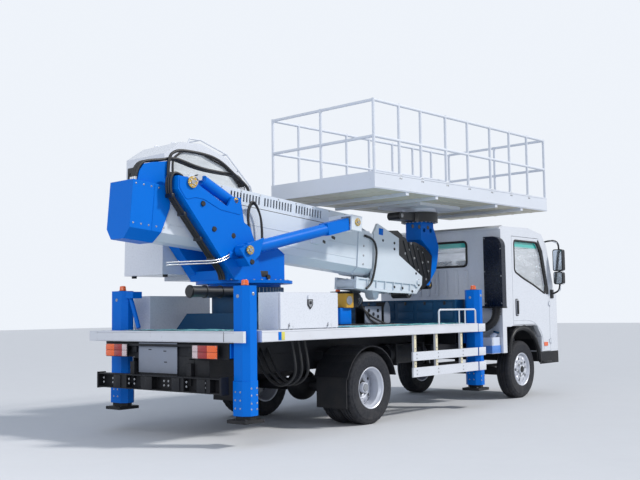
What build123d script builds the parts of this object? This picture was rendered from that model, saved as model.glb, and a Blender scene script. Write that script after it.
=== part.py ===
from build123d import *
import math
import os

# Cherry picker truck, millimetres, +X forward, +Y left, +Z up.
# Lengths below are measured from the rear axle, on the ground.
# X_MID and Y_MID move the finished truck so that its box is centred on the origin.

X_MID = 947.0
Y_MID = 0.0

WHEELBASE = 3360.0
TYRE_R = 367.0
TYRE_W = 190.0
RIM_R = 205.0
FRONT_Y = 775.0
REAR_Y_OUT = 842.0
REAR_Y_IN = 622.0
REAR_Y_MID = 732.0
KINGPIN_Y = 650.0

DECK_X0 = -1983.0
DECK_X1 = 2070.0
DECK_Y = 1070.0
DECK_TOP = 987.0
LEG_OUT = DECK_Y - 4
LEG_WALL = 12.0
LEG_FIT = 0.1
BEAM_WALL = 10.0
TOOLBOX_Y = DECK_Y - 60

# name, rear x, front x, inner y, side (+1 left)
LEGS = (
    ("rear_right", -1942.0, -1762.0, LEG_OUT - 198, -1),
    ("rear_left", -1752.0, -1598.0, LEG_OUT - 248, 1),
    ("front_left", 1765.0, 1922.0, LEG_OUT - 198, 1),
    ("front_right", 1928.0, 2085.0, LEG_OUT - 198, -1),
)

SLEW_X = -876.0
SLEW_DEG = -3.3
BOOM_DEG = 5.0
PIVOT = (-948.0, 2358.0)
LIFT_A = (-378.0, 1742.0)
LIFT_B = (1213.0, 2108.0)
LEVEL_A = (-398.0, 2230.0)
LEVEL_B = (-803.0, 2426.0)
NOSE = (2700.0, 1490.0)
SWING_X = 2970.0

os.makedirs("parts", exist_ok=True)


# Small builders

def box(x0, x1, y0, y1, z0, z1):
    size = Box(x1 - x0, y1 - y0, z1 - z0)
    return Pos((x0 + x1) / 2, (y0 + y1) / 2, (z0 + z1) / 2) * size


def slab_xz(points, y0, y1):
    outline = Plane.XZ * Polygon(*points, align=None)
    return Pos(0, y1, 0) * extrude(outline, amount=y1 - y0, dir=(0, -1, 0))


def slab_yz(points, x0, x1):
    outline = Plane.YZ * Polygon(*points, align=None)
    return Pos(x0, 0, 0) * extrude(outline, amount=x1 - x0, dir=(1, 0, 0))


def slab_xy(points, z0, z1):
    outline = Polygon(*points, align=None)
    return Pos(0, 0, z0) * extrude(outline, amount=z1 - z0, dir=(0, 0, 1))


def rod(start, end, radius):
    a = Vector(*start)
    b = Vector(*end)
    way = b - a
    place = Plane(origin=a, z_dir=way)
    solid = Cylinder(radius, way.length, align=(Align.CENTER, Align.CENTER, Align.MIN))
    return place * solid


def rod_y(x, z, y0, y1, radius):
    return rod((x, y0, z), (x, y1, z), radius)


def turned(points, centre):
    # A (radius, offset) outline turned about a line along Y through centre
    outline = Plane.XZ * Polygon(*points, align=None)
    body = revolve(outline, axis=Axis.Z)
    return Pos(*centre) * Rot(-90, 0, 0) * body


def hollow_run(face, core, s0, s1):
    # A tube along X between two stations, open at both ends
    outer = Pos(s0, 0, 0) * extrude(face, amount=s1 - s0, dir=(1, 0, 0))
    bore = Pos(s0 - 1, 0, 0) * extrude(core, amount=s1 - s0 + 2, dir=(1, 0, 0))
    return outer - bore


def join(*shapes):
    total = shapes[0]
    for shape in shapes[1:]:
        total = total + shape
    return total


def hinge_pin(x, y, z0, wall):
    # A pin along Z, held by two tabs that run back from it to the wall
    step = 1 if wall > x else -1
    tabs = []
    for z in (z0, z0 + 60):
        tabs.append(box(min(x - 4 * step, wall), max(x - 4 * step, wall), y - 26, y + 7, z, z + 8))
    return join(rod((x, y, z0), (x, y, z0 + 68), 6), *tabs)


def hinge_room(x, y, z0):
    return box(x - 14, x + 14, y - 28, y + 14, z0 + 8, z0 + 60)


def hinge_sleeve(x, y, z0, wall):
    step = 1 if wall > x else -1
    leaf = box(min(x, wall), max(x, wall), y - 26, y + 7, z0 + 10, z0 + 58)
    sleeve = rod((x, y, z0 + 10), (x, y, z0 + 58), 11)
    return leaf + sleeve


def hinge_bore(x, y, z0):
    return rod((x, y, z0), (x, y, z0 + 68), 6.08)


def mirror_y(shape):
    return mirror(shape, about=Plane.XZ)


def hose(points, radius, bend):
    path = FilletPolyline(*[Vector(*p) for p in points], radius=bend)
    start = Plane(origin=path @ 0, z_dir=path % 0)
    return sweep(start * Circle(radius), path=path)


TRUCK = Pos(-X_MID, -Y_MID, 0)
FRONT_SHIFT = WHEELBASE - 3360
FRONT = TRUCK * Pos(FRONT_SHIFT, 0, 0)
TURRET = TRUCK * Pos(SLEW_X, 0, 0) * Rot(0, 0, SLEW_DEG)
BOOM = TURRET * Pos(PIVOT[0], 0, PIVOT[1]) * Rot(0, BOOM_DEG, 0)


def save(name, shape, place=TRUCK):
    export_step(place * shape, "parts/" + name + ".step")


def boom_point(x, z):
    # Turret-frame side coordinates turned into along-boom and above-boom lengths
    dx = x - PIVOT[0]
    dz = z - PIVOT[1]
    c = math.cos(math.radians(BOOM_DEG))
    s = math.sin(math.radians(BOOM_DEG))
    return (dx * c - dz * s, dx * s + dz * c)


# Chassis

def chassis_frame():
    rails = []
    for side in (-1, 1):
        end = WHEELBASE + 740
        outer = box(-1950, end, 360, 430, 560, 740)
        pocket = box(-1960, end + 30, 352, 422, 568, 732)
        rail = outer - pocket
        rails.append(rail if side > 0 else mirror_y(rail))
    crosses = [box(x, x + 80, -425, 425, 600, 700) for x in (-1900, -950, -300, 750, 1800, 2600, end - 80)]
    back = WHEELBASE - 595
    mounts = [box(back, back + 96, y, y + 70, 739, 940) for y in (-430, 360)]
    panel = box(-1958, -1940, -206, 335, 563, 880)
    return join(*rails, *crosses, *mounts, panel, subframe(), fender(1), fender(-1))


def subframe():
    beams = [box(-1940, 2080, 330, 425, 739, 889), box(-1940, 2080, -425, -330, 739, 889)]
    tubes = []
    rooms = []
    for name, x0, x1, y0, side in LEGS:
        end = y0 - 12
        tubes.append(box(x0, x1, -end, end, 742, 888))
        rooms.append(box(x0 + BEAM_WALL, x1 - BEAM_WALL, -end - 10, end + 10, 752, 878))
    body = join(*beams, *tubes)
    for room in rooms:
        body = body - room
    return body


def column(x0, x1, y0, y1, z0, z1, chamfer):
    c = chamfer
    points = [(x0 + c, y0), (x1 - c, y0), (x1, y0 + c), (x1, y1 - c), (x1 - c, y1), (x0 + c, y1), (x0, y1 - c),
              (x0, y0 + c)]
    return slab_xy(points, z0, z1)


def outrigger_leg(x0, x1, y0, side):
    y1 = LEG_OUT
    w = LEG_WALL
    tube = column(x0, x1, y0, y1, 300, 1380, 48)
    collar = column(x0 - 7, x1 + 7, y0 - 7, y1 + 4, 265, 560, 50)
    bore = column(x0 + w, x1 - w, y0 + w, y1 - w, 255, 1368, 43)
    b = BEAM_WALL + LEG_FIT
    beam = box(x0 + b, x1 - b, 240 - y0, y0 + 4, 752 + LEG_FIT, 878 - LEG_FIT)
    beam = beam - box(x0 + b + 8, x1 - b - 8, 230 - y0, y0 - 8, 762, 868)
    leg = (tube + collar - bore) + beam
    if x0 > 0:
        for z0, z1 in ((612, 705), (440, 540), (889, 981)):
            leg = leg + box(x0 + 2, x1 - 2, y1 - 4, y1 + 4, z0, z1)
    if side > 0 and x0 < 0:
        head = box(x0 + 20, x1 - 20, y0 - 108, y0 + 4, 1304, 1370)
        stay = rod((x0 + 60, y0 - 25, 1310), (x0 + 60, y0 - 150, 1010), 22)
        leg = join(leg, head, stay)
    return leg if side > 0 else mirror_y(leg)


def outrigger_jack(x0, x1, y0, side):
    w = LEG_WALL + LEG_FIT
    y1 = LEG_OUT
    inner = column(x0 + w, x1 - w, y0 + w, y1 - w, 232, 1290, 43)
    xm = (x0 + x1) / 2
    ym = (y0 + y1) / 2
    foot = box(xm - 120, xm + 120, ym - 110, ym + 110, 202, 232)
    jack = inner + foot
    return jack if side > 0 else mirror_y(jack)


def deck():
    body = box(DECK_X0, DECK_X1, -DECK_Y, DECK_Y, 889, 981)
    body = body - box(DECK_X0 + 60, DECK_X1 - 60, -DECK_Y + 60, DECK_Y - 60, 880, 990)
    bearers = [box(x, x + 60, -DECK_Y + 55, DECK_Y - 55, 889, 981) for x in (-1500, -1040, -560, -80, 420, 900, 1400)]
    floor = box(DECK_X0, DECK_X1, -DECK_Y, DECK_Y, 981, DECK_TOP)
    body = join(body, floor, *bearers) - leg_notches()
    y = 23 - DECK_Y
    rail = hose([(1118, y, 985), (1118, y, 1150), (1905, y, 1150), (1905, y, 985)], 10, 30)
    posts = [rod((x, y, 985), (x, y, 1150), 8) for x in (1545, 1672)]
    return join(body, rail, *posts)


def leg_notches():
    cuts = []
    for name, x0, x1, leg_in, side in LEGS:
        y0, y1 = (leg_in - 14, DECK_Y + 10)
        cut = box(x0 - 8, x1 + 12, y0, y1, 870, 1000)
        cuts.append(cut if side > 0 else mirror_y(cut))
    return join(*cuts)


def rear_bumper():
    bar = box(-2044, -1960, -850, 850, 448, 584) - box(-2060, -1972, -842, 842, 458, 574)
    ends = [box(-2047, -1950, y, y + 10, 440, 594) for y in (-860, 850)]
    pads = [box(-2040, -1970, y, y + 150, 458, 574) for y in (-720, -380, 60, 420)]
    hangers = [box(-1990, -1950, y, y + 60, 500, 700) for y in (-425, 365)]
    return join(bar, *ends, *pads, *hangers)


def tail_lamps():
    lamps = [box(-2010, -1984, y, y + 325, 744, 868) for y in (-780, 455)]
    bar = box(-1984, -1964, -640, 640, 790, 830)
    stays = [box(-1966, -1942, y, y + 60, 790, 830) for y in (-425, 365)]
    return join(bar, *lamps, *stays)


def side_guard(side):
    end = 1752 if side > 0 else 1915
    upper = box(571, end, LEG_OUT - 20, LEG_OUT, 612, 705)
    lower = box(571, end, LEG_OUT - 20, LEG_OUT, 440, 540)
    posts = [box(x, x + 40, LEG_OUT - 46, LEG_OUT - 20, 440, 889) for x in (620, 1040, 1560)]
    body = join(upper, lower, *posts)
    return body if side > 0 else mirror_y(body)


TOOLBOX_HINGES = (-1360.0, -810.0)


def toolbox(side):
    y = TOOLBOX_Y
    outer = box(-1470, -637, y - 248, y, 987, 1329)
    inner = box(-1455, -652, y - 233, y + 10, 1003, 1314)
    body = outer - inner
    for x in TOOLBOX_HINGES:
        tabs = [box(x + d, x + d + 8, y - 10, y + 30, 990, 1012) for d in (0, 52)]
        body = join(body, *tabs, rod((x, y + 22, 1002), (x + 60, y + 22, 1002), 5))
    return body if side > 0 else mirror_y(body)


def toolbox_door(side):
    y = TOOLBOX_Y
    door = box(-1464, -643, y + 2, y + 18, 996, 1325)
    latch = box(-1090, -1010, y + 18, y + 30, 1262, 1300)
    body = door + latch
    for x in TOOLBOX_HINGES:
        body = body - box(x - 4, x + 64, y - 10, y + 40, 985, 1020)
        leaf = box(x + 12, x + 48, y + 14, y + 28, 1002, 1050)
        body = body + leaf + rod((x + 12, y + 22, 1002), (x + 48, y + 22, 1002), 9)
        body = body - rod((x - 5, y + 22, 1002), (x + 65, y + 22, 1002), 5.08)
    return body if side > 0 else mirror_y(body)


def deck_locker():
    outer = box(1795, 2055, -845, 845, 987, 1270)
    inner = box(1807, 2043, -833, 833, 1000, 1258)
    return outer - inner


def boom_rest():
    post = box(590, 790, -70, 70, 987, 1192)
    base = box(560, 1560, -120, 120, 987, 999)
    winch = box(658, 880, -110, 110, 1191, 1366)
    drum = rod((870, 0, 1285), (960, 0, 1285), 80)
    motor = rod((950, 0, 1270), (1040, 0, 1270), 55)
    plates = [box(1048, 1370, y, y + 12, 990, 1206) for y in (-70, 58)]
    stand = box(1460, 1549, -60, 60, 990, 1250)
    saddle = box(700, 860, -160, 160, 1350, 1376)
    return join(post, base, winch, drum, motor, *plates, stand, saddle)


def fluid_tank():
    tank = box(2540, 2760, -900, -640, 600, 800)
    neck = rod((2700, -800, 795), (2720, -860, 850), 30)
    strap = box(2560, 2740, -645, -430, 640, 660)
    return join(tank, neck, strap)


def engine_block():
    return box(3250, 4020, -330, 330, 560, 930)


def front_suspension():
    x = WHEELBASE
    beam = box(x - 50, x + 50, -600, 600, 285, 380)
    forks = []
    for y0, y1 in ((-676, -590), (590, 676)):
        forks.append(box(x - 35, x + 35, y0, y1, 285, 298))
        forks.append(box(x - 35, x + 35, y0, y1, 472, 486))
        forks.append(box(x - 35, x + 35, max(y0, -616), min(y1, 616), 285, 486))
    pins = [rod((WHEELBASE, y, 285), (WHEELBASE, y, 486), 14) for y in (-KINGPIN_Y, KINGPIN_Y)]
    springs = [box(x - 500, x + 500, y, y + 60, 379, 420) for y in (-425, 365)]
    hangers = []
    for start in (x - 500, x + 450):
        for y in (-425, 365):
            hangers.append(box(start, start + 50, y, y + 60, 420, 560))
    return join(beam, *forks, *pins, *springs, *hangers)


def rear_suspension():
    tube = rod((0, -825, TYRE_R), (0, 825, TYRE_R), 65)
    middle = Pos(0, 0, TYRE_R) * Sphere(165)
    springs = [box(-560, 560, y, y + 60, 432, 480) for y in (-425, 365)]
    seats = [box(-60, 60, y, y + 60, 380, 440) for y in (-425, 365)]
    hangers = []
    for x in (-560, 510):
        for y in (-425, 365):
            hangers.append(box(x, x + 50, y, y + 60, 480, 560))
    return join(tube, middle, *springs, *seats, *hangers)


def fender(side):
    arc = []
    for i in range(13):
        a = math.radians(15 + 150 * i / 12)
        arc.append((430 * math.cos(a), TYRE_R + 430 * math.sin(a)))
    inner = []
    for i in range(13):
        a = math.radians(165 - 150 * i / 12)
        inner.append((418 * math.cos(a), TYRE_R + 418 * math.sin(a)))
    cover = slab_xz(arc + inner, 520, CAB_HALF + 15)
    stays = [box(x, x + 30, 425, 540, TYRE_R + 273, TYRE_R + 375) for x in (-300, 270)]
    flap = box(-422, -406, 560, CAB_HALF + 5, 190, TYRE_R + 125)
    body = join(cover, *stays, flap)
    return body if side > 0 else mirror_y(body)


# Wheels

def tyre(y):
    h = TYRE_W / 2
    profile = [
        (RIM_R, -h + 14), (250, -h), (315, -h), (352, -h + 12), (TYRE_R, -h + 28),
        (TYRE_R, h - 28), (352, h - 12), (315, h), (250, h), (RIM_R, h - 14),
    ]
    return turned(profile, (0, y, TYRE_R))


def rim(y, disc, side):
    # disc is how far the wheel disc sits outboard of the rim's middle
    h = TYRE_W / 2 - 11
    barrel = [
        (180, -h - 8), (211, -h - 8), (211, -h), (RIM_R, -h), (RIM_R, h), (211, h), (211, h + 8),
        (180, h + 8),
    ]
    out = turned(barrel, (0, y, TYRE_R))
    plate = [(70, disc - 8), (181, disc - 8), (181, disc + 8), (70, disc + 8)]
    return out + turned([(r, side * o) for r, o in plate], (0, y, TYRE_R))


def front_rim(side):
    y = FRONT_Y
    wheel = rim(y, 60, 1)
    hub = turned([(36, -40), (95, -40), (95, 66), (70, 80), (36, 80)], (0, y, TYRE_R))
    body = Pos(WHEELBASE, 0, 0) * (wheel + hub)
    return body if side > 0 else mirror_y(body)


def front_tyre(side):
    body = Pos(WHEELBASE, 0, 0) * tyre(FRONT_Y)
    return body if side > 0 else mirror_y(body)


def rear_rims(side):
    outer = rim(REAR_Y_OUT, -82, 1)
    inner = rim(REAR_Y_IN, 82, 1)
    hub = turned([(65.08, -60), (130, -60), (130, 45), (100, 100), (65.08, 100)], (0, REAR_Y_MID, TYRE_R))
    body = join(outer, inner, hub)
    return body if side > 0 else mirror_y(body)


def rear_tyres(side):
    body = tyre(REAR_Y_OUT) + tyre(REAR_Y_IN)
    return body if side > 0 else mirror_y(body)


def knuckle(side):
    post = rod((WHEELBASE, KINGPIN_Y, 300), (WHEELBASE, KINGPIN_Y, 470), 29)
    spindle = rod((WHEELBASE, KINGPIN_Y + 17, TYRE_R), (WHEELBASE, 850, TYRE_R), 35.92)
    bore = rod((WHEELBASE, KINGPIN_Y, 290), (WHEELBASE, KINGPIN_Y, 480), 14.08)
    body = (post - bore) + spindle
    return body if side > 0 else mirror_y(body)


# Truck cab

CAB_OUT = [
    (2761, 600), (2761, 2155), (2830, 2195), (3500, 2210), (3880, 2150), (4020, 2000),
    (4200, 1420), (4284, 1330), (4284, 574), (3800, 574), (3800, 760), (3640, 933),
    (3000, 933), (2872, 800), (2872, 600),
]
CAB_IN = [
    (2801, 973), (2801, 2130), (2840, 2155), (3495, 2170), (3860, 2112), (3985, 1980),
    (4158, 1410), (4244, 1310), (4244, 973),
]
DOOR_OPENING = [
    (3040, 940), (3040, 2085), (3780, 2085), (3905, 1930), (4065, 1400), (4065, 575), (3806, 575),
    (3806, 770), (3655, 940),
]
DOOR = [
    (3046, 946), (3046, 2079), (3777, 2079), (3899, 1928), (4059, 1399), (4059, 581), (3818, 581),
    (3818, 773), (3664, 946),
]
DOOR_WINDOW = [
    (3104, 1630), (3104, 2030), (3740, 2030), (3840, 1900), (3975, 1460), (3950, 1345), (3620, 1462), (3320, 1550),
]
CAB_HALF = 935.0
DUCT_X0 = 2655.0
DUCT_X1 = 2755.0
DUCT_OUT = -1000.0
DUCT_IN = -745.0
DOOR_AXIS = (4066.0, CAB_HALF + 4)
DOOR_HINGES = (680.0, 1180.0)


def cab_shell():
    shell = slab_xz(CAB_OUT, -CAB_HALF, CAB_HALF) - slab_xz(CAB_IN, -CAB_HALF + 60, CAB_HALF - 60)
    shell = shell - slab_xz(DOOR_OPENING, -CAB_HALF - 60, -CAB_HALF + 61)
    shell = shell - slab_xz(DOOR_OPENING, CAB_HALF - 61, CAB_HALF + 60)
    shell = shell - box(2750, 2810, -440, 440, 1706, 2023)
    front = slab_xz([(3990, 1990), (4150, 1440), (4300, 1440), (4100, 2100)], 95 - CAB_HALF, CAB_HALF - 95)
    shell = shell - front
    engine_space = box(2750, 4130, -500, 500, 430, 940)
    wells = box(2860, 3800, -CAB_HALF - 60, CAB_HALF + 60, 400, 925)
    shell = shell - engine_space - wells
    for z in DOOR_HINGES:
        for side in (-1, 1):
            room = hinge_room(DOOR_AXIS[0], DOOR_AXIS[1], z)
            pin = hinge_pin(DOOR_AXIS[0], DOOR_AXIS[1], z, 4092)
            shell = shell - (room if side > 0 else mirror_y(room))
            shell = shell + (pin if side > 0 else mirror_y(pin))
    for side in (-1, 1):
        shell = shell + mirror_arms(side)
    return shell


def cab_door(side):
    door = slab_xz(DOOR, CAB_HALF - 58, CAB_HALF)
    window = slab_xz(DOOR_WINDOW, CAB_HALF - 70, CAB_HALF + 10)
    handle = box(3120, 3160, CAB_HALF, CAB_HALF + 12, 1070, 1266)
    body = door - window + handle
    for z in DOOR_HINGES:
        body = body + hinge_sleeve(DOOR_AXIS[0], DOOR_AXIS[1], z, 4030) - hinge_bore(DOOR_AXIS[0], DOOR_AXIS[1], z)
    return body if side > 0 else mirror_y(body)


def windscreen():
    pane = slab_xz([(4000, 1990), (4166, 1440), (4172, 1440), (4006, 1990)], 95 - CAB_HALF, CAB_HALF - 95)
    return pane


def cab_interior():
    floor = box(2805, 4240, 65 - CAB_HALF, CAB_HALF - 65, 973, 990)
    seats = []
    for y in (315 - CAB_HALF, -100, CAB_HALF - 515):
        seats.append(box(2950, 3450, y, y + 440, 990, 1250))
        seats.append(box(2870, 2990, y, y + 440, 1200, 1800))
    dash = box(3850, 4150, 85 - CAB_HALF, CAB_HALF - 85, 1050, 1370)
    stand = box(3950, 4200, 135 - CAB_HALF, CAB_HALF - 135, 990, 1060)
    driver = CAB_HALF - 415
    column = rod((3900, driver, 1250), (3640, driver, 1420), 25)
    wheel = Plane(origin=(3640, driver, 1420), z_dir=(-260, 0, 170)) * Torus(190, 15)
    spoke = Plane(origin=(3640, driver, 1420), z_dir=(-260, 0, 170)) * Box(380, 30, 20)
    return join(floor, *seats, dash, stand, column, wheel, spoke)


def front_bumper():
    body = box(3760, 4290, -CAB_HALF, CAB_HALF, 415, 574) - box(3750, 4278, 12 - CAB_HALF, CAB_HALF - 12, 405, 580)
    brackets = [box(4100, 4280, y, y + 66, 500, 574) for y in (-428, 362)]
    return join(body, *brackets)


def tall_duct(x0, x1, y0, y1, z0, z1, corner):
    # An upright duct whose outer top edge is rounded
    body = box(x0, x1, y0, y1, z0, z1)
    edge = body.edges().filter_by(Axis.X).filter_by(lambda e: e.center().Z > z1 - 1).sort_by(Axis.Y)[0]
    return fillet(edge, corner)


def intake_duct():
    skin = 12
    outer = tall_duct(DUCT_X0, DUCT_X1, DUCT_OUT, DUCT_IN, 1165, 2060, 130)
    inner = tall_duct(DUCT_X0 + skin, DUCT_X1 - skin, DUCT_OUT + skin, DUCT_IN - skin, 1177, 2060 - skin, 130 - skin)
    shelf = box(DUCT_X0 + 5, DUCT_X0 + 45, DUCT_OUT + 10, -560, 1165, 1190)
    post = box(DUCT_X0 + 5, DUCT_X0 + 45, -630, -560, 664, 1190)
    arm = box(DUCT_X0 + 5, DUCT_X0 + 45, -630, -430, 664, 724)
    return join(outer - inner, shelf, post, arm)


def mirror_arms(side):
    y = CAB_HALF
    top = hose([(3960, y - 35, 2040), (4060, y + 50, 2075), (4180, y + 110, 2030), (4180, y + 110, 1940)], 10, 30)
    low = hose([(4180, y + 110, 1560), (4190, y + 110, 1400), (4150, y - 10, 1330)], 10, 30)
    upper = box(4140, 4200, y + 45, y + 175, 1660, 1945)
    lower = box(4140, 4200, y + 50, y + 170, 1480, 1640)
    link = box(4165, 4185, y + 95, y + 125, 1630, 1670)
    pad = box(4100, 4180, y - 35, y + 10, 1290, 1400)
    body = join(top, low, upper, lower, link, pad)
    return body if side > 0 else mirror_y(body)


# Turntable, seen in the turret's own frame

def pedestal():
    foot = slab_yz([(-560, 987), (-400, 1145), (400, 1145), (560, 987)], SLEW_X - 420, SLEW_X + 420)
    low = Align.CENTER, Align.CENTER, Align.MIN
    drum = Pos(SLEW_X, 0, 1144) * Cylinder(330, 160, align=low)
    ring = Pos(SLEW_X, 0, 1303) * Cylinder(400, 92, align=low)
    spigot = Pos(SLEW_X, 0, 1394) * Cylinder(200, 34, align=low)
    return join(foot, drum, ring, spigot)


ARM = [
    (-1104, 2286), (-1104, 2410), (-990, 2404), (-885, 2356), (-513, 2166), (-455, 2262), (-340, 2262),
    (-295, 2024), (-213, 1976), (-140, 1800), (-60, 1462), (-420, 1462), (-606, 1690),
]
CHEEK = [(-470, 1462), (-470, 1730), (193, 1793), (293, 1733), (293, 1462)]
LUG = [(-492, 1746), (-368, 1588), (-238, 1700), (-177, 1871), (-300, 1830)]


def turret_frame():
    plate = Pos(0, 0, 1433) * Cylinder(490, 30, align=(Align.CENTER, Align.CENTER, Align.MIN))
    bearing = Pos(0, 0, 1396) * Cylinder(370, 38, align=(Align.CENTER, Align.CENTER, Align.MIN))
    body = plate + bearing - Pos(0, 0, 1390) * Cylinder(200.1, 40, align=(Align.CENTER, Align.CENTER, Align.MIN))
    body = body + box(-470, 293, -286, 286, 1462, 1560)
    for side in (-1, 1):
        arm = slab_xz(ARM, 195, 330)
        cheek = slab_xz(CHEEK, 196, 286)
        half = arm + cheek
        body = body + (half if side > 0 else mirror_y(half))
    body = body + slab_xz(LUG, -488, -468) + slab_xz([(-430, 1662), (-368, 1588), (-310, 1662)], -469, -329)
    body = body + rod_y(LIFT_A[0], LIFT_A[1], -502, -325, 25)
    body = body + rod_y(PIVOT[0], PIVOT[1], -345, 345, 40)
    slot = box(-540, -330, -308, -190, 2172, 2300)
    body = body - slot
    return body + rod_y(LEVEL_A[0], LEVEL_A[1], -334, -196, 18)


def slew_motor():
    housing = rod((-1889, -286, 1347), (-1330, -286, 1347), 52)
    worm = box(-1332, -1120, -340, -232, 1305, 1390)
    return housing + worm


OP_SIDE = [
    (-770, 1535), (-746, 2742), (-537, 2883), (-271, 2890), (76, 2783), (402, 2485), (520, 2100),
    (500, 1640), (420, 1535),
]
OP_INNER = [
    (-735, 1570), (-712, 2725), (-527, 2848), (-275, 2855), (58, 2752), (372, 2466), (484, 2098),
    (466, 1652), (404, 1570),
]
OP_SIDE_WINDOW = [(-660, 1900), (-650, 2700), (-520, 2800), (-270, 2800), (60, 2690), (330, 2440), (420, 2120),
                  (400, 1900)]
OP_Y0 = 345.0
OP_Y1 = 985.0


def operator_cab():
    shell = slab_xz(OP_SIDE, OP_Y0, OP_Y1) - slab_xz(OP_INNER, OP_Y0 + 35, OP_Y1 - 35)
    shell = shell - slab_xz(OP_SIDE_WINDOW, OP_Y0 - 10, OP_Y0 + 45)
    shell = shell - slab_xz(OP_DOOR_HOLE, OP_Y1 - 36, OP_Y1 + 10)
    front = box(60, 600, OP_Y0 + 60, OP_Y1 - 60, 1900, 2660)
    shell = shell - front
    shell = shell - box(-800, -600, OP_Y0 + 70, OP_Y1 - 70, 1950, 2600)
    stay = box(-300, 200, 330, 930, 1490, 1536)
    shell = shell + stay
    for z in OP_HINGES:
        shell = shell - hinge_room(OP_AXIS[0], OP_AXIS[1], z) + hinge_pin(OP_AXIS[0], OP_AXIS[1], z, -680)
    return shell + roof_guard()


def roof_guard():
    lines = []
    for y in (OP_Y0 + 30, (OP_Y0 + OP_Y1) / 2, OP_Y1 - 30):
        lines.append(hose([(-430, y, 2880), (-400, y, 2935), (-262, y, 2938), (98, y, 2826), (436, y, 2512),
                           (560, y, 2110), (545, y, 1750), (485, y, 1700)], 9, 12))
    for x, z in ((-262, 2938), (98, 2826), (280, 2668), (436, 2512), (500, 2300), (560, 2110)):
        lines.append(rod((x, OP_Y0 + 30, z), (x, OP_Y1 - 30, z), 8))
    return join(*lines)


OP_DOOR_HOLE = [
    (-640, 1600), (-630, 2690), (-510, 2800), (-270, 2800), (40, 2700), (300, 2470), (400, 2120), (380, 1640),
    (340, 1600),
]
OP_DOOR = [
    (-634, 1606), (-624, 2687), (-508, 2794), (-271, 2794), (37, 2695), (295, 2466), (394, 2119), (374, 1644),
    (337, 1606),
]


OP_AXIS = (-641.0, 989.0)
OP_HINGES = (1760.0, 2380.0)


def operator_door():
    door = slab_xz(OP_DOOR, OP_Y1 - 34, OP_Y1)
    window = slab_xz([(-580, 1900), (-570, 2660), (-480, 2740), (-280, 2740), (10, 2650), (240, 2440), (330, 2110),
                      (320, 1900)], OP_Y1 - 40, OP_Y1 + 10)
    body = door - window
    for z in OP_HINGES:
        body = body + hinge_sleeve(OP_AXIS[0], OP_AXIS[1], z, -600) - hinge_bore(OP_AXIS[0], OP_AXIS[1], z)
    return body


def operator_seat():
    base = box(-480, -60, 520, 820, 1570, 1800)
    cushion = box(-560, 0, 440, 900, 1800, 1920)
    back = box(-640, -520, 440, 900, 1860, 2520)
    console = box(60, 300, 450, 880, 1570, 2000)
    return join(base, cushion, back) + join(box(-200, 100, 500, 840, 1570, 1590), console)


# Boom, seen in the boom's own frame (along, across, above)

TAIL = -540.0
SECTION = [(-162, -75), (-162, -486), (-90, -560), (90, -560), (162, -486), (162, -75)]


def section(inset, wall, s0, s1):
    face = Plane.YZ * offset(Polygon(*SECTION, align=None), amount=-inset, kind=Kind.INTERSECTION)
    core = Plane.YZ * offset(Polygon(*SECTION, align=None), amount=-inset - wall, kind=Kind.INTERSECTION)
    outer = Pos(s0, 0, 0) * extrude(face, amount=s1 - s0, dir=(1, 0, 0))
    inner = Pos(s0 - 1, 0, 0) * extrude(core, amount=s1 - s0 + 2, dir=(1, 0, 0))
    return outer - inner


def grown(amount, s0, s1):
    face = Plane.YZ * offset(Polygon(*SECTION, align=None), amount=amount, kind=Kind.INTERSECTION)
    core = Plane.YZ * Polygon(*SECTION, align=None)
    return hollow_run(face, core, s0, s1)


EAR = [(-105, -80), (-64, 62), (60, 62), (110, 116), (175, 116), (200, 60), (330, -80)]


def boom_base():
    tube = section(0, 8, TAIL + 15, 2750)
    body = join(tube, grown(14, 2560, 2750))
    for side in (-1, 1):
        ear = slab_xz(EAR, 130, 162)
        body = body + (ear if side > 0 else mirror_y(ear))
    body = body - rod_y(0, 0, -200, 200, 40.08)
    es, en = boom_point(*LEVEL_B)
    body = body + rod_y(es, en, -216, -150, 24)
    rib = slab_xz([(2250, -60), (2080, -94), (1790, -262), (1790, -322), (1895, -322), (2250, -150)], -205, -161)
    return join(body, lift_bracket(), rib, cable_guard())


def lift_bracket():
    s, n = boom_point(*LIFT_B)
    top = box(s - 95, s + 75, -488, -100, n + 53, n + 71)
    outer = box(s - 95, s + 75, -488, -468, n - 94, n + 70)
    inner = box(s - 95, s + 75, -332, -312, n - 94, n + 70)
    web = box(s - 95, s - 75, -320, -161, n - 60, n + 70)
    inner_web = box(s - 95, s - 75, -162, -110, n - 16, n + 70)
    return join(top, outer, inner, web, inner_web)


def cable_guard():
    outer = box(430, 2450, -148, 148, -76, 88)
    inner = box(420, 2460, -140, 140, -77, 80)
    guard = outer - inner
    for i in range(30):
        s = 640 + i * 42 + (i // 10) * 40
        guard = guard - box(s, s + 20, -160, -130, -30, 55)
    for s in (440, 1200, 1960):
        guard = guard + box(s, s + 12, -142, 142, -76, 82)
    return guard


def tail_cover():
    outline = [(-177, -48), (-177, -486), (-99, -583), (99, -583), (177, -486), (177, -48)]
    inner = [(-169, -56), (-169, -484), (-95, -575), (95, -575), (169, -484), (169, -56)]
    cover = slab_yz(outline, TAIL, -100) - slab_yz(inner, TAIL + 8, -90)
    front = slab_xz([(-120, 0), (-112, -255), (-228, -600), (-60, -600), (-60, 0)], -300, 300)
    blocks = [box(TAIL + 6, TAIL + 15, -120, 120, -400, -200), box(TAIL + 20, -180, -162, 162, -75, -55)]
    saddle = slab_xz([(-453, -50), (-440, 50), (-394, 127), (-306, 158), (-185, 187), (-124, 206), (-68, -50)],
                     -120, -30)
    return join(cover - front, *blocks, saddle)


def boom_middle():
    return join(section(14, 8, -400, 2830), pads(14, 6, -400, -300), slab_collar(14, 2756, 2830))


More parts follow.
